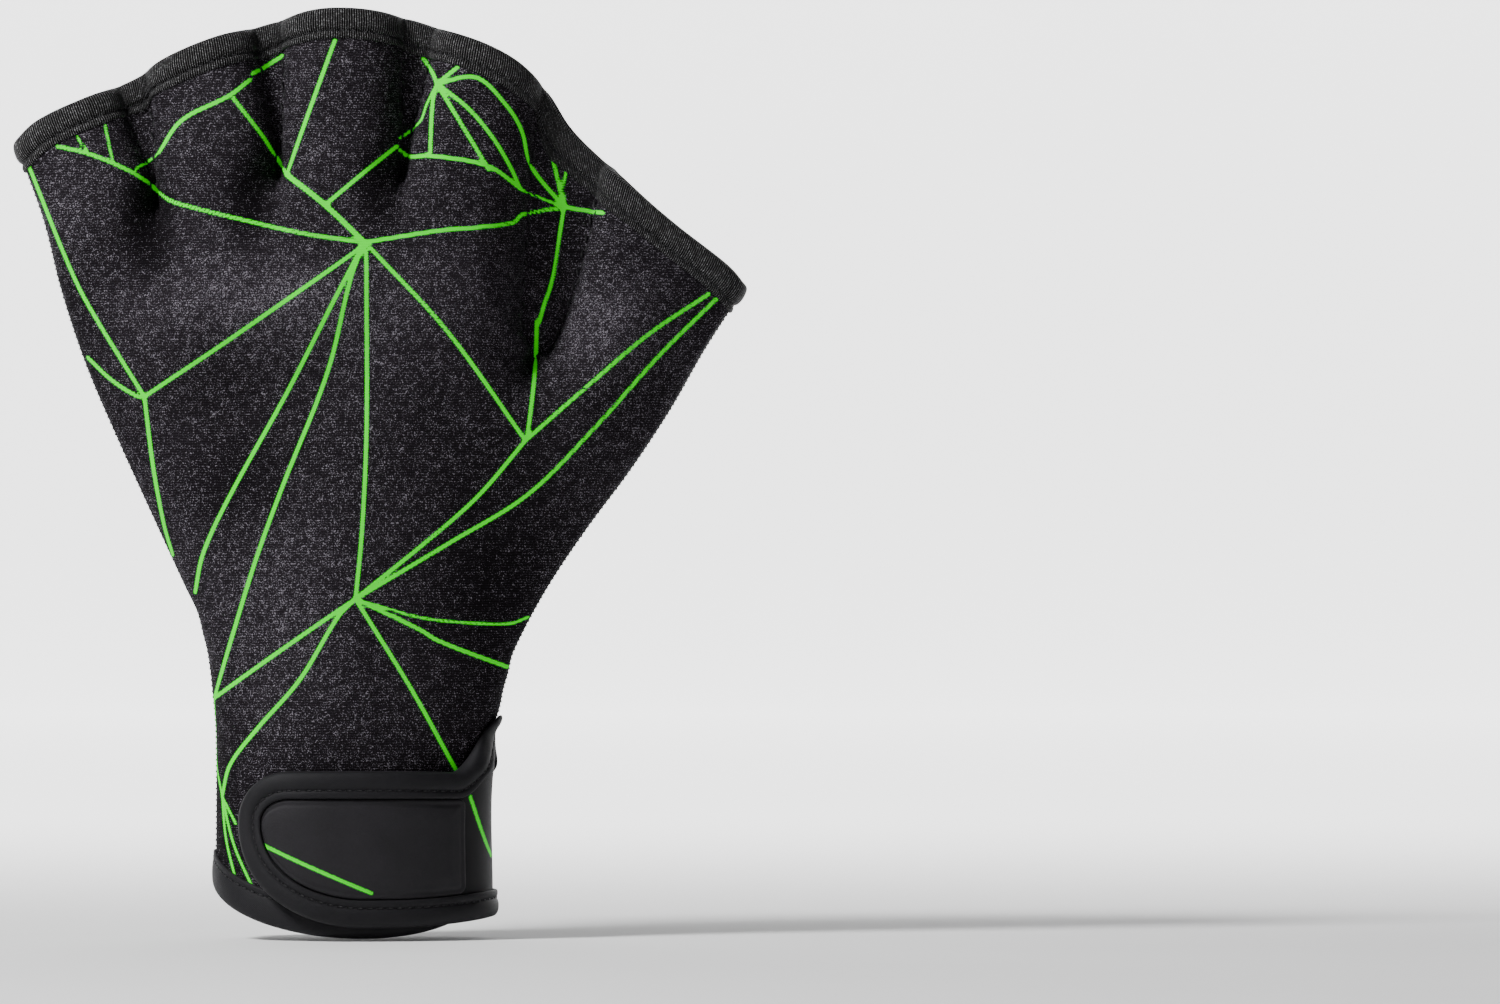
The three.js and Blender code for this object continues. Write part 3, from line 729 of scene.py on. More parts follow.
def ring_frame(rise):
    """Points, the way out and the way up for all columns; rise has a row of values for each column."""
    which = np.arange(RING)[:, None]
    points = ring_point(which, rise)
    low, high = np.maximum(rise - SMALL_RISE, 0), np.minimum(rise + SMALL_RISE, 1)
    up = (ring_point(which, high) - ring_point(which, low)) / (high - low)[..., None]
    climb = np.linalg.norm(up, axis=-1)
    run = np.roll(points, -1, axis=0) - np.roll(points, 1, axis=0)
    return points, unit(np.cross(run, up)), unit(up), climb, unit(run)


print("ring of", RING, "columns, thumb seam at", LAST_COLUMN)

# %% [markdown]
# ## The print
# A net of straight and bent lines crosses the back of the hand and meets in eight knots. Lines are given in
# millimetres as the camera sees them, x and z, with their width. Each is curved through its points, cut
# into short pieces and laid on the cloth at the mean depth of the grid's points around it, of which the
# nearest count most. Then every point of the mesh learns its distance to the nearest piece. Drawing in the
# material would need hundreds of nodes.

# %% Lines of the net
KNUCKLE, WRIST, PINKY_KNOT, THUMB_KNOT = (4.5, 159), (2.5, 73.5), (-48.5, 122), (43, 111.5)
INDEX_KNOT, WEB_KNOT, HEM_KNOT, SIDE_KNOT = (21.5, 197.5), (52, 168), (-30, 26), (-32, 49.5)
BOLD, FULL, FINE = 1.5, 1.2, 0.9
BACK_LINES = [
    (BOLD, [KNUCKLE, (-5, 168), (-14.5, 175.5)]),
    (FULL, [(-14.5, 175.5), (-18, 181), (-20.5, 185), (-27.5, 194)]),
    (FULL, [(-14.5, 175.5), (-3, 208)]),
    (FULL, [(-5, 168), (12, 182.5)]),
    (FINE, [(12.5, 184.5), (17.5, 188.5), (19, 192.5), INDEX_KNOT]),
    (FULL, [(12.5, 181.5), (15, 180), (20, 180), (34, 177.5), (42, 172)]),
    (FULL, [KNUCKLE, (-9.5, 161), (-25, 164.5), (-37, 167.5), (-43, 169.5), (-48.5, 174)]),
    (FULL, [(-48.5, 174), (-52.5, 176.5), (-62, 180.5), (-70, 182.5)]),
    (FINE, [(-65.5, 185), (-62.5, 181)]),
    (FINE, [(-58.5, 187.5), (-56.5, 178.5)]),
    (FINE, [(-51, 177), (-45.5, 181)]),
    (FULL, [(-45.5, 181), (-40, 188.5), (-28.5, 194.5), (-23.5, 198.5)]),
    (FULL, [(-23, 200), (-16, 204.5)]),
    (FULL, [(-77, 177.5), (-68.5, 157), (-63, 145.5), PINKY_KNOT]),
    (FULL, [(-62.5, 131.5), (-56.5, 126), (-50, 122), PINKY_KNOT]),
    (FULL, [PINKY_KNOT, (-25, 137.5), (2, 156.5), KNUCKLE]),
    (FULL, [PINKY_KNOT, (-46.5, 105), (-44, 91), (-42, 84)]),
    (FULL, [KNUCKLE, (-12.5, 126), (-29, 96), (-34.5, 84), (-36.5, 75)]),
    (FULL, [KNUCKLE, (1.5, 151), (-4, 129), (-15.5, 99.5), (-21.5, 83), (-27.5, 64), SIDE_KNOT]),
    (FULL, [KNUCKLE, (5, 154), (5, 114), (4, 90), WRIST]),
    (FULL, [KNUCKLE, (7, 156.5), (24.5, 137.5), THUMB_KNOT]),
    (FULL, [KNUCKLE, (23.5, 162), (30, 162.5), (40, 164), (42, 166), WEB_KNOT]),
    (FULL, [WEB_KNOT, (44, 178), (42, 186), (38.5, 192), (31, 199), INDEX_KNOT]),
    (FINE, [WEB_KNOT, (43, 171.5), (42, 172)]),
    (FULL, [WEB_KNOT, (49, 181)]),
    (FINE, [WEB_KNOT, (52.5, 178)]),
    (FULL, [WEB_KNOT, (61.5, 166.5)]),
    (FULL, [WEB_KNOT, (51.5, 165), (49.5, 151.5), (47, 143.5), (46, 140)]),
    (FULL, [(45.5, 140.5), (45, 126), (43.5, 113), THUMB_KNOT]),
    (FULL, [INDEX_KNOT, (26.5, 201.5)]),
    (FULL, [(18, 204), (20.5, 200), INDEX_KNOT]),
    (FULL, [INDEX_KNOT, (20.5, 193), (20, 180.5)]),
    (FULL, [INDEX_KNOT, (27.9, 187), (34.2, 176.6)]),
    (FULL, [INDEX_KNOT, (29.2, 191.4), (35.2, 184.2), (39.3, 177.3), (41.5, 172.4)]),
    (FULL, [THUMB_KNOT, (32, 98.5), (21.5, 89), WRIST]),
    (FULL, [THUMB_KNOT, (59.5, 126), (73, 137.5), (87, 147)]),
    (FULL, [WRIST, (25, 87), (43.5, 98.5), (59.5, 114.5), (75.5, 132.5), (89, 146)]),
    (FINE, [WRIST, (18, 69), (32, 67.5), (39.5, 67.5), (43.5, 69)]),
    (FULL, [WRIST, (18, 66), (22, 63.5), (38.5, 57)]),
    (FULL, [WRIST, (16, 51.5), (26, 33), (34, 18)]),
    (FULL, [WRIST, (-8.5, 66), (-20, 58), SIDE_KNOT]),
    (FULL, [WRIST, (-1.5, 69.5), (-11, 54), (-21.5, 42), (-28, 33.5), HEM_KNOT]),
    (FINE, [HEM_KNOT, (-31.5, 34), SIDE_KNOT]),
    (FINE, [HEM_KNOT, (-26.5, 19.5)]),
    (FINE, [HEM_KNOT, (-29, 16), (-26.5, 6), (-25, 0)]),
    (FINE, [HEM_KNOT, (-27, 14.5), (-22, 3.5), (-20, -2)]),
]
PALM_LINES = [
    (FULL, [(-42, 84), (-30, 74), (-6, 66), (39, 57)]),
    (FULL, [(-36.5, 75), (-20, 96), (6, 118), (30, 132)]),
    (FULL, [(43.5, 69), (24, 92), (6, 118), (-22, 140), (-62.5, 131.5)]),
    (FULL, [(6, 118), (10, 150), (2, 178), (-3, 206)]),
    (FULL, [(30, 132), (60, 122), (72, 128)]),
    (FULL, [(30, 132), (34, 160), (30, 186), (22, 202)]),
    (FULL, [(-22, 140), (-34, 164), (-38, 190)]),
    (FULL, [(-22, 140), (-48, 160), (-66, 176)]),
    (FULL, [(-6, 66), (-12, 36), (-2, 4)]),
    (FULL, [(-30, 74), (-32, 50)]),
]
PIECE_LENGTH = 0.8
LAYING_REACH = 0.35
DEPTH_SHARE = 0.35
FAR = 9.0
AROUND_LINE = 5


def distance_to_lines(points, lines):
    """Distance of each point to the nearest line's edge, negative inside, with depth counted at a share."""
    nearest = np.full(len(points), FAR)
    squeeze = np.array([1, DEPTH_SHARE, 1])
    for width, knots in lines:
        knots = np.array(knots, float)
        gone = gone_along(knots)
        spots = np.linspace(0, gone[-1], max(2, int(gone[-1] / PIECE_LENGTH) + 1))
        curve = {"gone": gone, "x": knots[:, 0], "z": knots[:, 1]}
        seen = np.stack([along(curve, "gone", axis, spots) for axis in ("x", "z")], 1)
        low, high = seen.min(0) - AROUND_LINE, seen.max(0) + AROUND_LINE
        close = np.flatnonzero(np.all((points[:, [0, 2]] > low) & (points[:, [0, 2]] < high), axis=1))
        here = points[close]
        flat_gap = ((here[:, None, [0, 2]] - seen[None]) ** 2).sum(-1)
        weight = np.exp((flat_gap.min(0) - flat_gap) / LAYING_REACH**2)
        laid = (weight * here[:, 1:2]).sum(0) / weight.sum(0)
        line = np.stack([seen[:, 0], laid, seen[:, 1]], 1) * squeeze
        start, run = line[:-1], np.diff(line, axis=0)
        to_point = (here * squeeze)[:, None] - start[None]
        share = np.clip((to_point * run).sum(-1) / np.maximum((run * run).sum(-1), TINY), 0, 1)
        gap = np.linalg.norm(to_point - share[..., None] * run, axis=-1).min(1) - width / 2
        nearest[close] = np.minimum(nearest[close], gap)
    return nearest


print("printed lines:", len(BACK_LINES), "on the back,", len(PALM_LINES), "on the palm")


# %% [markdown]
# ## Painted light and shade, and wear
# On the back, the knuckles, the thumb and the left side of the wrist are painted lighter, with more glints,
# where the key light falls on them: painted highlights. Left of the creases below the webs, on the thumb's
# side of the wrist, low on the little finger's side, beside the strap and in a few more places the jersey is
# painted darker as shade. On the palm the rows are wear, at the heel and the bases of the fingers. A short
# table of bell curves gives each point of the mesh its share, which the material reads as it reads the
# print.

# %% Worn places
# Positive rows on the back are painted highlights, negative ones painted shade; the palm's rows are wear.
WEAR_AND_PAINTED_LIGHT = table(
    "side x z wide tall share",
    (-1, -12, 144, 34, 11, 0.9),
    (-1, 64, 139, 15, 13, 0.8),
    (-1, -14, 74, 14, 22, 0.5),
    (-1, 34, 76, 13, 34, -0.7),
    (-1, -70, 124, 13, 30, -0.7),
    (-1, -70, 166, 7, 14, 0.5),
    (-1, -47, 162, 6, 11, -1.3),
    (-1, -24, 169, 5, 9, -1.2),
    (-1, 7, 170, 5, 9, -0.8),
    (-1, -27, 103, 12, 12, -0.7),
    (-1, -33, 22, 8, 22, -1.1),
    (1, -16, 148, 34, 10, 0.8),
    (1, 20, 70, 22, 26, 0.7),
    (1, -36, 84, 14, 40, 0.5),
)


def wear_and_painted_light_at(points, side):
    """Sum of the bell curves of one side at each point."""
    total = np.zeros(len(points))
    for k in np.flatnonzero(WEAR_AND_PAINTED_LIGHT["side"] == side):
        x = (points[:, 0] - WEAR_AND_PAINTED_LIGHT["x"][k]) / WEAR_AND_PAINTED_LIGHT["wide"][k]
        z = (points[:, 2] - WEAR_AND_PAINTED_LIGHT["z"][k]) / WEAR_AND_PAINTED_LIGHT["tall"][k]
        total += WEAR_AND_PAINTED_LIGHT["share"][k] * np.exp(-(x * x + z * z))
    return total


print("worn and painted_shade places:", len(WEAR_AND_PAINTED_LIGHT["side"]))


# %% [markdown]
# ## The two panels
# Each panel is one sheet of neoprene with an outside, an inside and a rim. Blender's Solidify could add
# the thickness, but it would double a very fine grid. The inside is hardly seen, so here it is a grid four
# times coarser, and a strip of triangles that fans from one to the other closes the rim.

# %% Panels
PANEL_ROWS = 288
ROW_CROWDING = 1.1
INSIDE_STEP = 4


def rim_triangles(outer, inner):
    """Joins a fine loop to one with a quarter of its points, both running the same way round."""
    k = np.arange(len(outer))
    m = ((k + INSIDE_STEP // 2) // INSIDE_STEP) % len(inner)
    fine = np.stack([outer[(k + 1) % len(outer)], outer[k], inner[m]], 1)
    n = np.arange(len(inner))
    turn = outer[(n * INSIDE_STEP + INSIDE_STEP // 2) % len(outer)]
    return np.concatenate([fine, np.stack([inner[n], inner[(n + 1) % len(inner)], turn], 1)])


def make_panel(name, side, lines):
    """The skin's grid on one side, and the same grid moved in by the cloth's thickness."""
    rises = 1 - (1 - np.linspace(0, 1, PANEL_ROWS + 1)) ** ROW_CROWDING
    points, out, _, _, _ = ring_frame(np.broadcast_to(rises, (RING, len(rises))))
    columns = np.arange(LAST_COLUMN + 1) if side < 0 else np.arange(LAST_COLUMN, RING + 1) % RING
    points, out = points[columns], out[columns]
    points[[0, -1], :, 1] += PANEL_GAP * (side + 1)
    inside = (points - out * NEOPRENE)[::INSIDE_STEP, ::INSIDE_STEP]
    wide, tall = points.shape[:2]
    few, low = inside.shape[:2]
    inner_quads = grid_quads(few, low, start=wide * tall)[:, ::-1]
    rim = rim_triangles(border(wide, tall, 0), border(few, low, wide * tall))
    steps = np.linalg.norm(np.diff(points, axis=0), axis=-1)
    u = np.concatenate([np.zeros((1, tall)), np.cumsum(steps, axis=0)])
    flat = np.stack([u - u[wide // 2], points[..., 2]], -1)
    area = grid_area(points) * METRE**2
    every = np.concatenate([points.reshape(-1, 3), inside.reshape(-1, 3)])
    every_flat = np.concatenate([flat.reshape(-1, 2), flat[::INSIDE_STEP, ::INSIDE_STEP].reshape(-1, 2)])
    edge = np.concatenate([distance_to_lines(points.reshape(-1, 3), lines), np.full(few * low, FAR)])
    faces = [np.concatenate([grid_quads(wide, tall), inner_quads]), rim]
    marks = {"line_edge": edge, "wear_and_painted_light": wear_and_painted_light_at(every, side)}
    piece = make_piece(name + "_cloth", every, faces, every_flat, JERSEY, "printed_neoprene", name, **marks)
    return piece


make_panel("back_panel", -1, BACK_LINES)
make_panel("palm_panel", 1, PALM_LINES)

# %% [markdown]
# ## Tape folded over the tip edge
# The tape is an elastic strip folded over both cloths' raw edges and sewn through. Its shown leg is a
# round band, then a groove where the stitches pull, then a flat lip. A profile carried along a path makes
# it. Each point of the profile is a way down from the edge along the cloth and a way out from it. The tape
# is stiffer than the cloth and bridges the sharp bends beside the webs, so a bell-shaped average smooths
# the path.

# %% Tip tape
TAPE_STATION = 0.8
BRIDGING = 1.0
TIP_PROFILE = [
    (7.0, 0.06), (6.98, 0.4), (6.7, 0.66), (6.1, 0.74), (5.55, 0.6), (5.25, 0.24), (5.0, 0.1),
    (4.8, 0.26), (4.5, 0.66), (3.8, 1.02), (2.8, 1.2), (1.7, 1.2), (0.7, 1.05), (0.0, 0.86),
    (-0.5, 0.52), (-0.85, 0.0), (-1.0, -1.1), (-0.85, -2.1), (-0.5, -2.65), (0.0, -2.92),
    (1.2, -3.06), (3.0, -3.06), (4.8, -3.0), (5.55, -2.85), (5.6, -2.3),
    (4.0, -2.25), (1.5, -2.25), (0.1, -2.25), (-0.16, -2.1), (-0.16, -1.1), (-0.16, -0.1),
    (0.1, 0.04), (1.5, 0.04), (3.5, 0.04), (5.2, 0.04), (6.4, 0.04),
]  # fmt: skip


def rounded_loop(loop):
    """Cuts each corner of a closed outline at a quarter and three quarters of its sides."""
    loop = np.array(loop, float)
    after = np.roll(loop, -1, axis=0)
    return np.stack([loop * 0.75 + after * 0.25, loop * 0.25 + after * 0.75], 1).reshape(-1, 2)


def evenly(rows, spots, gone):
    """Rows of a closed ring taken at even distances round it, by linear interpolation."""
    i = np.clip(np.searchsorted(gone, spots, side="right") - 1, 0, len(rows) - 1)
    share = (spots - gone[i]) / (gone[i + 1] - gone[i])
    share = share.reshape((-1,) + (1,) * (rows.ndim - 1))
    return rows[i] * (1 - share) + rows[(i + 1) % len(rows)] * share


def softened(rows):
    """Average of each row of a ring with its neighbours, weighted by a bell curve."""
    steps = np.arange(-3, 4)
    weights = np.exp(-((steps * TAPE_STATION / BRIDGING) ** 2) / 2)
    return sum(w * np.roll(rows, k, axis=0) for k, w in zip(steps, weights / weights.sum()))


def edge_tape(end, profile):
    """Points of a profile at even stations round the tip edge (end 1) or hem (end 0), and the length."""
    down, out_by = profile[:, 0], profile[:, 1]
    edge, out, up, climb, run = ring_frame(np.full((RING, 1), float(end)))
    past = unit(np.cross(out, run)) * (1 if end else -1)
    square = np.abs((past * up).sum(-1))
    inner = np.maximum(down, 0)[None] / (climb * square)
    rows, way_out, _, _, _ = ring_frame(end + inner * (-1 if end else 1))
    rows = rows + past * np.maximum(-down, 0)[None, :, None] + way_out * out_by[None, :, None]
    sides = np.linalg.norm(np.roll(edge, -1, axis=0) - edge, axis=-1)[:, 0]
    gone = np.concatenate([[0], np.cumsum(sides)])
    stations = int(gone[-1] / TAPE_STATION)
    spots = np.arange(stations) * gone[-1] / stations
    return softened(evenly(rows, spots, gone)), gone[-1]


def profile_lengths(profile):
    """Way gone along the outline at each of its points, and its whole length."""
    sides = np.linalg.norm(np.roll(profile, -1, axis=0) - profile, axis=1)
    gone = np.concatenate([[0], np.cumsum(sides)])
    return gone[:-1], gone[-1]


def swept(name, rows, profile, length, pitch, cloth, slot, node):
    """A closed tube through rows of points, whose pattern fits a whole number of times round it."""
    stations, count = rows.shape[:2]
    v, whole = profile_lengths(profile)
    around = round(length / pitch) * pitch
    u = np.arange(stations) * around / stations
    flat = np.stack(np.broadcast_arrays(u[:, None], v[None]), -1).reshape(-1, 2)
    quads = grid_quads(stations, count, True, True)
    return make_piece(name, rows.reshape(-1, 3), [quads], flat, cloth, slot, node, (around, whole))


tip_profile = rounded_loop(TIP_PROFILE)[::-1]
tip_rows, tip_length = edge_tape(1, tip_profile)
swept("tip_tape", tip_rows, tip_profile, tip_length, RIB_PITCH, RIBBED, "ribbed_tape", "tip_binding")
print("tip tape runs", round(float(tip_length)), "mm round the glove")

# %% [markdown]
# ## Tape round the hem
# The same function, called for the other end of the columns, folds a smooth tape over the hem. It is only
# gently crowned, with its stitches near its upper border.

# %% Hem tape
CUFF_PROFILE = [
    (7.2, 0.06), (7.18, 0.4), (6.9, 0.66), (6.4, 0.7), (5.9, 0.62), (5.6, 0.5), (5.2, 0.66), (4.2, 0.88),
    (2.8, 1.0), (1.2, 1.0), (0.2, 0.9), (-0.45, 0.6), (-0.85, 0.0), (-1.0, -1.1), (-0.85, -2.1),
    (-0.45, -2.7), (0.2, -2.98), (2.0, -3.1), (4.5, -3.1), (5.7, -2.98), (5.8, -2.3), (4.0, -2.25),
    (1.5, -2.25), (0.1, -2.25), (-0.16, -2.1), (-0.16, -1.1), (-0.16, -0.1), (0.1, 0.04), (3.0, 0.04),
    (6.4, 0.04),
]  # fmt: skip
cuff_profile = rounded_loop(CUFF_PROFILE)
cuff_rows, cuff_length = edge_tape(0, cuff_profile)
swept("hem_tape", cuff_rows, cuff_profile, cuff_length, TAPE_PITCH, SMOOTH, "smooth_tape", "cuff_binding")
print("hem tape runs", round(float(cuff_length)), "mm round the wrist")

# %% [markdown]
# ## The wrist strap
# The strap lies on the wrist, so it is drawn on the wrist's own map: the turn round it in degrees, 0 at the
# little finger's side seam and 90 in the middle of the back, and the height in millimetres. Its end is
# rounded, and towards the thumb's side it climbs beside the slit of the glove. A strap could be modelled
# flat and bent round, but on the map its edges are simply two curves over the turn.

# %% Wrist map
STRAP_END, STRAP_ROOT, STRAP_TIP, STRAP_LOW, STRAP_HIGH = 46.5, 232, 20, -4, 31
LOW_ROUND, HIGH_ROUND = 52, 22
SHOULDER_FROM, SHOULDER_PEAK, SHOULDER_TO, SHOULDER_RISE = 140, 172, 222, 13.5
LIFT_FROM, LIFT_TO, LIFT_RISE = 110, 180, 2
STRAP_TAPE_REACH = 5.4
STRAP_INNER, STRAP_OUTER = 2.5, 4.5
WRIST_GAP = 0.15
SLOPE_STEP = 2
END_CROWDING = 1.3
SMALL_ANGLE = 0.15
PRESSED = 0.72
PRESSED_FROM_TO = (33, 43)
TAB_ROWS = 60


def wrist_point(turn, height, offset):
    """A point on the wrist at a turn and a height, moved out along the cross product of both ways.

    High on the strap's shoulder, where no tape lies under it, all of it is pressed closer to the skin.
    """

    def place(degrees, z):
        across = (1 - np.cos(np.radians(degrees))) / 2
        side = np.where(degrees < 180, -1, 1)
        hem = hem_height(side, across)
        tip = FAN_HEIGHT * along(TIP_EDGE, "across", "height", across)
        return skin_point(side, across, (z - hem) / (tip - hem), WRIST_GAP)

    turn, height = np.broadcast_arrays(np.asarray(turn, float), np.asarray(height, float))
    around = place(turn + SLOPE_STEP, height) - place(turn - SLOPE_STEP, height)
    up = place(turn, height + SLOPE_STEP) - place(turn, height - SLOPE_STEP)
    offset = offset * (1 - PRESSED * ease(height, *PRESSED_FROM_TO))
    return place(turn, height) + unit(np.cross(around, up)) * offset[..., None]


def strap_edges(turn):
    """Lower and upper edge: quarter ellipses that meet at the tip, then level, with a shoulder above."""
    lower = np.clip((STRAP_END + LOW_ROUND - turn) / LOW_ROUND, 0, 1)
    upper = np.clip((STRAP_END + HIGH_ROUND - turn) / HIGH_ROUND, 0, 1)
    low = STRAP_TIP + (STRAP_LOW - STRAP_TIP) * np.sqrt(1 - lower**2)
    high = STRAP_TIP + (STRAP_HIGH - STRAP_TIP) * np.sqrt(1 - upper**2)
    shoulder = SHOULDER_RISE * ease(turn, SHOULDER_FROM, SHOULDER_PEAK)
    shoulder = shoulder * (1 - ease(turn, SHOULDER_PEAK, SHOULDER_TO))
    return low + LIFT_RISE * ease(turn, LIFT_FROM, LIFT_TO), high + shoulder


def tab_turns(end, root, steps):
    """Turns from a tab's rounded end to its root, closing up towards the end."""
    return end + SMALL_ANGLE + (root - end - SMALL_ANGLE) * np.linspace(0, 1, steps + 1) ** END_CROWDING


def tab_grid(turns, low, high):
    """Turns and heights of a grid between two edges, both with one row of values for each turn."""
    heights = low[:, None] + (high - low)[:, None] * np.linspace(0, 1, TAB_ROWS + 1)[None]
    return np.broadcast_to(turns[:, None], heights.shape), heights


print("strap from", STRAP_END, "to", STRAP_ROOT, "degrees round the wrist")

# %% [markdown]
# Strap, label field and hook pad are all sheets: an outer and an inner grid of one size that share a rim.
# The outer one gives the cloth's coordinates, along and across it, and only it can carry print. The plain
# strip of the strap beside the label field has one printed line.


# %% Strap
def closed_sheet(outer, inner):
    """Points and quads of two grids of one size, joined round their borders."""
    columns, rows = outer.shape[:2]
    count = columns * rows
    a, b = border(columns, rows, 0), border(columns, rows, count)
    rim = np.stack([np.roll(a, -1), a, b, np.roll(b, -1)], 1)
    back = grid_quads(columns, rows, start=count)[:, ::-1]
    points = np.concatenate([outer.reshape(-1, 3), inner.reshape(-1, 3)])
    return points, np.concatenate([grid_quads(columns, rows), back, rim])


def flat_of(grid):
    """Millimetres along and across a grid of points, as its coordinates in the cloth."""
    u = np.cumsum(np.linalg.norm(np.diff(grid, axis=0, prepend=grid[:1]), axis=-1), axis=0)
    v = np.cumsum(np.linalg.norm(np.diff(grid, axis=1, prepend=grid[:, :1]), axis=-1), axis=1)
    u = np.broadcast_to(u[:, grid.shape[1] // 2][:, None], v.shape)
    return np.stack([u, v], -1)


def make_sheet(name, outer, inner, cloth, slot, node, printed=None):
    """A piece from two grids. printed is the distance to the lines for each point of the outer one."""
    points, quads = closed_sheet(outer, inner)
    flat = np.tile(flat_of(outer).reshape(-1, 2), (2, 1))
    marks = {}
    if printed is not None:
        marks["line_edge"] = np.concatenate([printed, np.full(len(printed), FAR)])
    return make_piece(name, points, [quads], flat, cloth, slot, node, **marks)


STRAP_LINES = [(FINE, [(29.8, 26), (31.4, 21), (33.2, 15.5), (34.6, 11.6)])]
STRAP_FRONT_TO = 178
STRAP_COLUMNS = 220
strap_turns = tab_turns(STRAP_END, STRAP_ROOT, STRAP_COLUMNS)
strap_grid = tab_grid(strap_turns, *strap_edges(strap_turns))
strap_top = wrist_point(*strap_grid, STRAP_OUTER)
strap_under = wrist_point(*strap_grid, STRAP_INNER)
strap_front = strap_grid[0].ravel() < STRAP_FRONT_TO
strap_line = np.full(strap_front.size, FAR)
strap_line[strap_front] = distance_to_lines(strap_top.reshape(-1, 3)[strap_front], STRAP_LINES)
strap = make_sheet("strap_cloth", strap_top, strap_under, STRAP, "strap_cloth", "wrist_strap", strap_line)
grid_area(strap_top) * METRE**2

# %% [markdown]
# The strap's tape goes along its lower edge, round the end and back along its upper edge. The path is cut
# into even stations once more, and the profile is carried along it on the wrist's map, where the way past
# the edge is the path's own direction turned by a right angle.

# %% Strap tape
STRAP_PROFILE = [
    (5.4, 0.55), (5.38, 0.9), (5.1, 1.14), (4.5, 1.2), (3.9, 1.1), (3.6, 0.86), (3.35, 0.84), (3.0, 1.16),
    (2.2, 1.42), (1.2, 1.46), (0.3, 1.3), (-0.4, 1.02), (-0.95, 0.45), (-1.2, -0.5), (-1.2, -1.6),
    (-0.95, -2.5), (-0.4, -3.0), (0.4, -3.2), (2.5, -3.2), (4.2, -3.12), (4.3, -2.55), (2.0, -2.5),
    (0.0, -2.5), (-0.45, -2.3), (-0.5, -1.0), (-0.45, 0.3), (0.0, 0.5), (2.5, 0.5), (4.6, 0.5),
]  # fmt: skip
strap_profile = rounded_loop(STRAP_PROFILE)
STRAP_STATION = 0.7
PATH_STEPS = 900
path_turns = tab_turns(STRAP_END, STRAP_ROOT, PATH_STEPS)
path_low, path_high = strap_edges(path_turns)
path = np.concatenate([np.stack([path_turns, path_low], 1)[::-1], np.stack([path_turns, path_high], 1)])
path_gone = gone_along(wrist_point(path[:, 0], path[:, 1], STRAP_OUTER))
path = on_row(path, path_gone, np.linspace(0, path_gone[-1], int(path_gone[-1] / STRAP_STATION)))
ahead = wrist_point(path[:, 0] + 1, path[:, 1], STRAP_OUTER)
behind = wrist_point(path[:, 0] - 1, path[:, 1], STRAP_OUTER)
per_degree = np.linalg.norm(ahead - behind, axis=1) / 2
path_run = unit(np.gradient(path, axis=0) * np.stack([per_degree, np.ones(len(path))], 1))
path_past = np.stack([-path_run[:, 1], path_run[:, 0]], 1)


def along_strap(profile):
    """Points of a profile at each station of the strap's edge, from ways in along it and out from it."""
    inward = -profile[None, :, 0]
    return wrist_point(
        path[:, :1] + path_past[:, :1] * inward / per_degree[:, None],
        path[:, 1:] + path_past[:, 1:] * inward,
        STRAP_OUTER + profile[None, :, 1],
    )


def swept_open(name, rows, profile, cloth, slot, node):
    """A tube through rows of points, with a fan of triangles over each end."""
    stations, count = rows.shape[:2]
    v, whole = profile_lengths(profile)
    u = np.arange(stations) * STRAP_STATION
    flat = np.stack(np.broadcast_arrays(u[:, None], v[None]), -1).reshape(-1, 2)
    ends = np.stack([rows[0].mean(0), rows[-1].mean(0)])
    points = np.concatenate([rows.reshape(-1, 3), ends])
    flat = np.concatenate([flat, [[0, 0], [u[-1], 0]]])
    faces = [grid_quads(stations, count, False, True), end_fans(stations, count)]
    return make_piece(name, points, faces, flat, cloth, slot, node, (None, whole))


swept_open("strap_tape", along_strap(strap_profile), strap_profile, SMOOTH, "smooth_tape", "strap_binding")
print("strap tape runs", round(float(path_gone[-1])), "mm")

# %% [markdown]
# ## The label field
# Inside the tape lies a smooth bare field, sewn down near its edge and a little puffed. It follows the
# strap's rounded end and stops at a straight edge. A cushion could be inflated by a cloth simulation, but
# its height is simply a soft step away from its own border, less a groove where it is sewn.

# %% Label field
LABEL_ROOT = 147
LABEL_INSET = STRAP_TAPE_REACH + 0.1
LABEL_TOP = 26
LABEL_MIDDLE = 12
LABEL_COLUMNS = 150
LABEL_GAP = 0.06
LABEL_BORDER, LABEL_THICK, BORDER_ROLL = 0.1, 0.6, 0.35
PUFF_RISE, PUFF_FROM_TO = 0.35, (1.2, 5)
GROOVE_DEPTH, GROOVE_PLACE, GROOVE_WIDTH = 0.22, 1.3, 0.45
CORNER = 2.4
LABEL_LINES = [(FINE, [(-22, 16.3), (-19, 14.5), (-7, 9), (6.5, 3.2)])]
inset = path + path_past * np.stack([-LABEL_INSET / per_degree, np.full(len(path), -LABEL_INSET)], 1)
tip = int(np.argmin(inset[:, 0]))
lower_edge, upper_edge = inset[tip::-1], inset[tip:]
label_turns = tab_turns(inset[tip, 0], LABEL_ROOT, LABEL_COLUMNS)
label_low = np.interp(label_turns, lower_edge[:, 0], lower_edge[:, 1])
label_high = np.minimum(np.interp(label_turns, upper_edge[:, 0], upper_edge[:, 1]), LABEL_TOP)
root_point = wrist_point(LABEL_ROOT, LABEL_MIDDLE, 0)
to_root = np.linalg.norm(wrist_point(label_turns, LABEL_MIDDLE, 0) - root_point, axis=1)
corner_cut = CORNER - np.sqrt(np.maximum(0, CORNER**2 - np.maximum(0, CORNER - to_root) ** 2))
label_low, label_high = label_low + corner_cut, label_high - corner_cut
label_grid = tab_grid(label_turns, label_low, label_high)
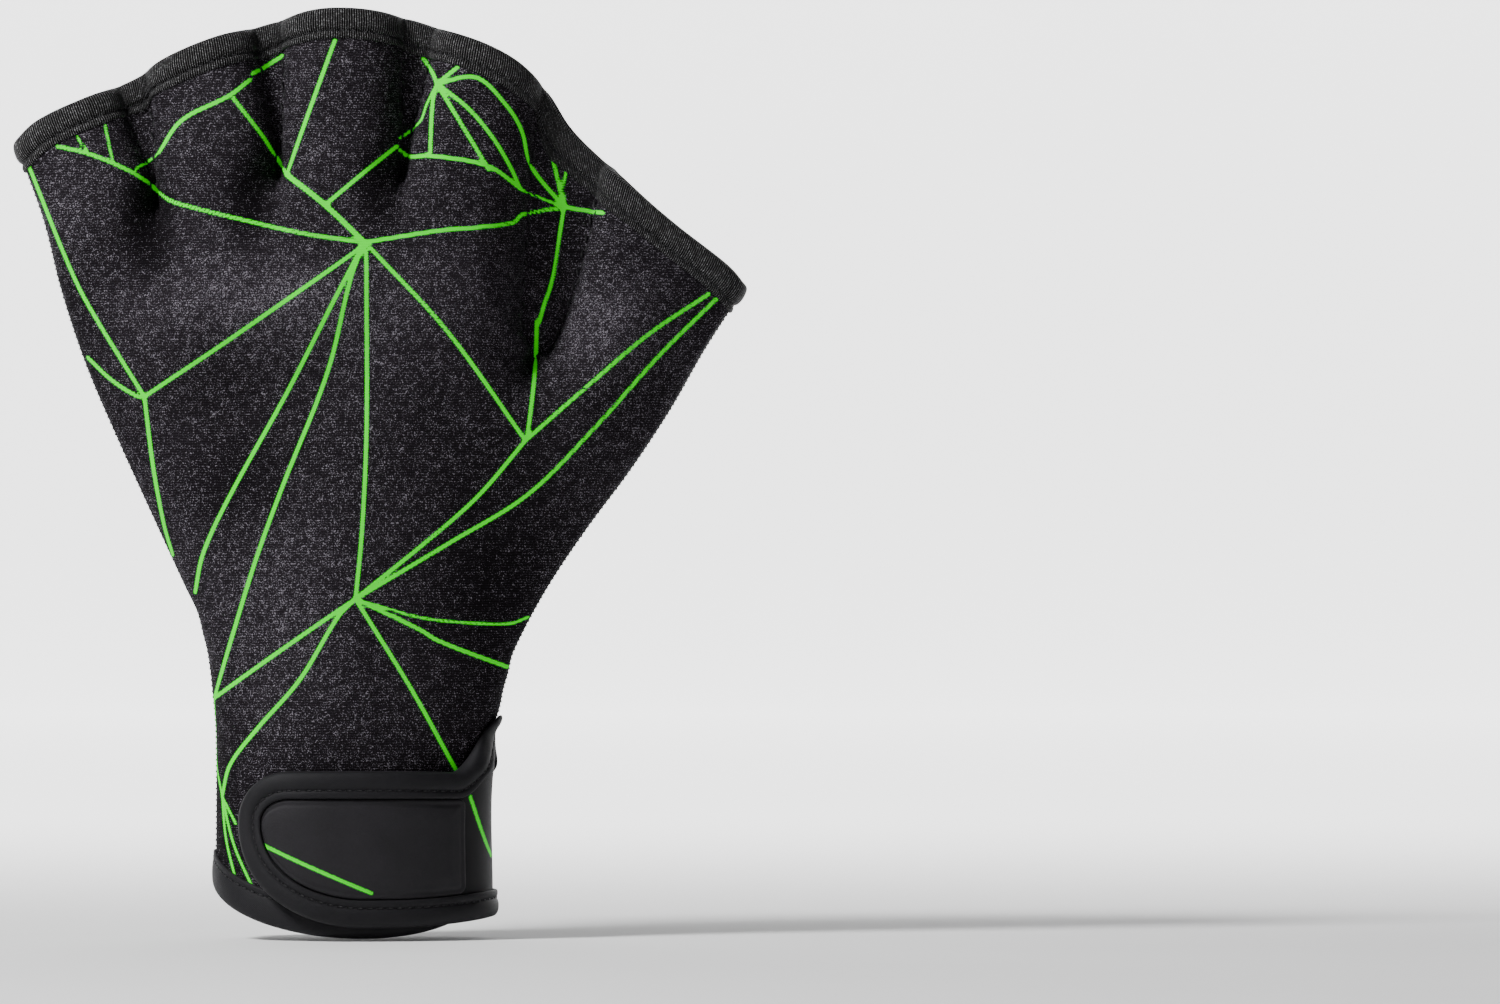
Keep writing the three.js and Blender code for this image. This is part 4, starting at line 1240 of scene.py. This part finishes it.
to_side = np.minimum(label_grid[1] - label_low[:, None], label_high[:, None] - label_grid[1])
to_edge = np.minimum(to_side, to_root[:, None])
puff = LABEL_BORDER + (LABEL_THICK - LABEL_BORDER) * (1 - np.exp(-to_edge / BORDER_ROLL))
puff = puff + PUFF_RISE * ease(to_edge, *PUFF_FROM_TO)
groove = GROOVE_DEPTH * np.exp(-(((to_edge - GROOVE_PLACE) / GROOVE_WIDTH) ** 2))
label_top = wrist_point(*label_grid, STRAP_OUTER + LABEL_GAP + puff - groove)
label_under = wrist_point(*label_grid, STRAP_OUTER + LABEL_GAP)
label_line = distance_to_lines(label_top.reshape(-1, 3), LABEL_LINES)
make_sheet("label_field", label_top, label_under, LABEL, "label_cloth", "label_patch", label_line)

# %% [markdown]
# The pad of hook tape is not seen, so it is a plain strip between the skin and the strap, as wide as the
# strap leaves room for inside its tape.

# %% Hook pad
HOOK_FROM, HOOK_TO = 76, 134
HOOK_GAP = 0.1
HOOK_COLUMNS, HOOK_ROWS = 50, 24
hook_turns = np.linspace(HOOK_FROM, HOOK_TO, HOOK_COLUMNS)[:, None]
hook_heights = np.linspace(STRAP_LOW + LABEL_INSET + LIFT_RISE, STRAP_HIGH - LABEL_INSET, HOOK_ROWS)[None]
hook_top = wrist_point(hook_turns, hook_heights, STRAP_INNER - HOOK_GAP)
hook_under = wrist_point(hook_turns, hook_heights, HOOK_GAP)
make_sheet("hook_pad", hook_top, hook_under, HOOKS, "hook_tape", "hook_patch")

# %% [markdown]
# ## Stitches
# A stitch is a short thread that dips into the cloth at both ends. Modelled once as a small capsule of a
# few dozen faces, it is copied to every place by array arithmetic: each copy's points are its middle plus
# its own length, width and height directions. That gives a thousand stitches without a thousand objects.


# %% Stitch helper
CAPSULE_RINGS = 3
CAPSULE_AROUND = 6


def capsule():
    """A unit capsule along x: rings of points whose radius is a half ellipse, and a pole at each end."""
    lie = np.cos(np.linspace(0, np.pi, CAPSULE_RINGS + 2))[1:-1]
    turn = np.arange(CAPSULE_AROUND) * FULL_TURN / CAPSULE_AROUND
    radius = np.sqrt(1 - lie**2)[:, None]
    body = np.stack(np.broadcast_arrays(-lie[:, None], radius * np.cos(turn), radius * np.sin(turn)), -1)
    points = np.concatenate([body.reshape(-1, 3), [[-1, 0, 0], [1, 0, 0]]])
    quads = grid_quads(CAPSULE_RINGS, CAPSULE_AROUND, False, True)
    return points, quads[:, ::-1], end_fans(CAPSULE_RINGS, CAPSULE_AROUND)


def stitches(name, middles, runs, outs, half_length, radius):
    """Copies of the capsule at middles, lying along runs: middle + run * x + wide * y + up * z."""
    shape, quads, triangles = capsule()
    runs = unit(runs)
    wides = unit(np.cross(outs, runs))
    ups = np.cross(runs, wides)
    points = (
        middles[:, None]
        + runs[:, None] * shape[None, :, :1] * half_length
        + wides[:, None] * shape[None, :, 1:2] * radius
        + ups[:, None] * shape[None, :, 2:] * radius
    )
    first = (np.arange(len(middles)) * len(shape))[:, None, None]
    faces = [(quads[None] + first).reshape(-1, 4), (triangles[None] + first).reshape(-1, 3)]
    flat = points.reshape(-1, 3)[:, [0, 2]]
    return make_piece(name, points.reshape(-1, 3), faces, flat, THREAD, None)


print("a stitch has", len(capsule()[0]), "points")

# %% [markdown]
# The tapes are sewn through in their grooves. A short profile of two points, one on the cloth and one just
# outside it, is carried along the tape's path like the tape itself. It gives each stitch its place and its
# way out.

# %% Tape stitches
RUN_STEP = 0.6
STRAP_ROW_DOWN, STRAP_ROW_OUT = 3.5, 0.92
STRAP_ROW_SPACING, STRAP_ROW_START, STRAP_ROW_STOP = 2.4, 1.2, 1
STRAP_RUN_STEP = 0.5


def along_ring(rows, spots, length):
    """Points and directions at distances round an evenly spaced ring."""
    gone = np.linspace(0, length, len(rows) + 1)
    ahead = evenly(rows, (spots + RUN_STEP) % length, gone)
    return evenly(rows, spots, gone), unit(ahead - evenly(rows, (spots - RUN_STEP) % length, gone))


def tape_row(name, end, down, out_by, spacing, half_length, radius):
    """A row of stitches round the tip edge or the hem, in the groove of its tape."""
    rows, length = edge_tape(end, np.array([[down, out_by], [down, out_by + 1]]))
    spots = np.arange(0, length - spacing / 2, spacing)
    middles, runs = along_ring(rows[:, 0], spots, length)
    outs, _ = along_ring(rows[:, 1], spots, length)
    return stitches(name, middles, runs, unit(outs - middles), half_length, radius)


tape_row("tip_tape_stitches", end=1, down=5.05, out_by=0.2, spacing=2.7, half_length=1.15, radius=0.24)
tape_row("hem_tape_stitches", end=0, down=5.6, out_by=0.62, spacing=2.5, half_length=1.0, radius=0.22)

row = along_strap(np.array([[STRAP_ROW_DOWN, STRAP_ROW_OUT], [STRAP_ROW_DOWN, STRAP_ROW_OUT + 1]]))
row_gone = gone_along(row[:, 0])
row_spots = np.arange(STRAP_ROW_START, row_gone[-1] - STRAP_ROW_STOP, STRAP_ROW_SPACING)
row_middles = on_row(row[:, 0], row_gone, row_spots)
row_ahead = on_row(row[:, 0], row_gone, row_spots + STRAP_RUN_STEP)
row_runs = row_ahead - on_row(row[:, 0], row_gone, row_spots - STRAP_RUN_STEP)
row_outs = on_row(row[:, 1], row_gone, row_spots) - row_middles
stitches("strap_tape_stitches", row_middles, row_runs, row_outs, half_length=0.95, radius=0.2)

# %% [markdown]
# The rows that pinch the two panels into webs are sewn close, in zigzag, from the tip edge down to the
# crotch of each web. They follow the web's own edges, so the same formula that draws the cloth in places
# them.

# %% Web rows
WEB_STITCH = 2.1
ROW_TOP = 0.955
ROW_START = 0.004
ROW_STEP = 0.004
WEB_TIP = 0.981
ZIGZAG = 0.35
ZIGZAG_LEAN = 0.5
ROW_INSET = 0.15
ROW_LIFT = 0.12


def web_rows(side):
    """Middles, directions and ways out of the stitches along both edges of each web, on one side."""
    middles, runs, outs = [], [], []
    for web in WEBS:
        tall = (ROW_TOP - web["crotch"]) * FAN_HEIGHT * WEB_TIP
        rises = np.linspace(web["crotch"] + ROW_START, ROW_TOP, int(tall / WEB_STITCH))
        zig = ZIGZAG * (-1) ** np.arange(len(rises))
        for way in (-1, 1):

            def place(rise):
                middle, half = web_at(web, rise)
                pinky, thumb = row_ends(rise)
                return skin_point(side, middle + way * (half - ROW_INSET + zig) / (thumb - pinky), rise)

            here = place(rises)
            run = place(rises + ROW_STEP) - place(rises - ROW_STEP)
            lean = zig[:, None] * np.linalg.norm(run, axis=1)[:, None]
            middles.append(here + np.array([0, side * ROW_LIFT, 0]))
            runs.append(run + np.array([ZIGZAG_LEAN, 0, 0]) * lean)
            outs.append(np.broadcast_to([0.0, side, 0.0], here.shape))
    return np.concatenate(middles), np.concatenate(runs), np.concatenate(outs)


for side, word in ((-1, "back"), (1, "palm")):
    stitches("web_stitches_" + word, *web_rows(side), half_length=1.1, radius=0.32)

# %% [markdown]
# An overcast seam shows as short threads across the edge, leaning one way and the other by turns. They lie
# a little outside both panels, from one to the other.

# %% Side seams
SEAM_FROM, SEAM_TO, SEAM_STITCHES = 0.045, 0.955, 118
SEAM_LEAN = 0.35
SEAM_LIFT = 0.1
seam_rises = np.linspace(SEAM_FROM, SEAM_TO, SEAM_STITCHES)
seam_lean = SEAM_LEAN * np.where(np.arange(SEAM_STITCHES) % 2, 1, -1)[:, None]
seam_rows = []
for across, way in ((0.0, -1), (1.0, 1)):
    at = skin_point(-1, across, seam_rises) + np.array([way * SEAM_LIFT, PANEL_GAP, 0])
    run = np.array([0, 1.0, 0]) + unit(np.gradient(at, axis=0)) * seam_lean
    seam_rows.append((at, run, np.broadcast_to([float(way), 0, 0], at.shape)))
seam = [np.concatenate(rows) for rows in zip(*seam_rows)]
stitches("side_seam_stitches", *seam, half_length=0.8, radius=0.13)

# %% [markdown]
# ## Floor and backdrop
# The picture has a plain white ground. A pale floor that curves up into a backdrop stands in for it. The
# backdrop could be lit by lamps, but light from behind would reach the glove's edges. So it is a lit
# screen: it glows by itself, from a step behind the glove on, and stands farther off than the camera, so
# that a view from behind is free too.

# %% Floor
FLOOR_LEVEL = -8.4
FLOOR_WIDE = 7000.0
FLOOR_FRONT = -2600.0
FLOOR_BACK = 3200.0
SWEEP = 600.0
WALL_TOP = 3200.0
SWEEP_STEPS = 24
GLOW_FROM, GLOW_TO = -0.1, 1.2
GLOW = 2.6
PAPER_TONES = (0.89, 0.89, 0.895, 1), (0.92, 0.92, 0.92, 1)


def paper():
    """A matte backdrop with a faint mottle, which glows from a step behind the glove on."""
    cloth = Cloth("backdrop_paper", Specular_IOR_Level=0.1, Emission_Strength=GLOW)
    mottle = cloth.noise(9, 3.0)
    colour = cloth.mix(mottle, *PAPER_TONES)
    behind = cloth.node("ShaderNodeSeparateXYZ", {}, {0: cloth.place()}, "Y").between(GLOW_FROM, GLOW_TO)
    cloth.put(cloth.shader.inputs["Emission Color"], cloth.mix(behind, BLACK, colour))
    return cloth.finish(colour, 0.9 + mottle * 0.05, cloth.noise(300, 2.0), 0.02)


def make_floor():
    """A profile of floor, quarter circle and wall, drawn out sideways."""
    bend = np.linspace(0, np.pi / 2, SWEEP_STEPS + 1)
    ys = np.concatenate([[FLOOR_FRONT], FLOOR_BACK + SWEEP * np.sin(bend), [FLOOR_BACK + SWEEP]])
    zs = np.concatenate([[0], SWEEP * (1 - np.cos(bend)), [WALL_TOP]]) + FLOOR_LEVEL
    xs = np.array([FLOOR_WIDE / 2, -FLOOR_WIDE / 2])
    grid = np.stack(np.broadcast_arrays(xs[:, None], ys[None], zs[None]), -1)
    mesh = bpy.data.meshes.new("floor")
    quads = grid_quads(2, len(ys))[:, ::-1]
    mesh.from_pydata((grid.reshape(-1, 3) * METRE).tolist(), [], quads.tolist())
    mesh.shade_smooth()
    mesh.materials.append(paper())
    floor = bpy.data.objects.new("floor", mesh)
    bpy.context.collection.objects.link(floor)
    return floor


make_floor()

# %% [markdown]
# ## Light
# Black cloth shows its form only by the light that grazes it. One key light from the upper left in front
# gives each fold a bright and a dark side, a large weak one fills from the right, and the world adds an
# even glow. More lamps would make the knit flat and grey.

# %% Lights
WHITE = (1, 1, 1, 1)
WORLD_GLOW = 0.075
GLOVE_MIDDLE = (0.0, 0.0, 0.12)
world = bpy.data.worlds.new("studio")
world.use_nodes = True
world.node_tree.nodes["Background"].inputs["Color"].default_value = WHITE
world.node_tree.nodes["Background"].inputs["Strength"].default_value = WORLD_GLOW
bpy.context.scene.world = world


def area_light(name, place, size, power):
    """A square soft light at a place in metres, turned towards the glove."""
    light = bpy.data.lights.new(name, "AREA")
    light.size = size
    light.energy = power
    lamp = bpy.data.objects.new(name, light)
    lamp.location = place
    away = np.array(GLOVE_MIDDLE) - np.array(place)
    flat_away = np.hypot(away[0], away[1])
    lamp.rotation_euler = (np.arctan2(flat_away, -away[2]), 0, np.arctan2(-away[0], away[1]))
    bpy.context.collection.objects.link(lamp)
    print(name, "light of", power, "W,", round(float(np.linalg.norm(away)), 2), "m from the glove")


area_light("key", place=(-0.85, -0.62, 1.1), size=0.35, power=33)
area_light("fill", place=(0.7, -1.5, 0.4), size=0.9, power=1.2)
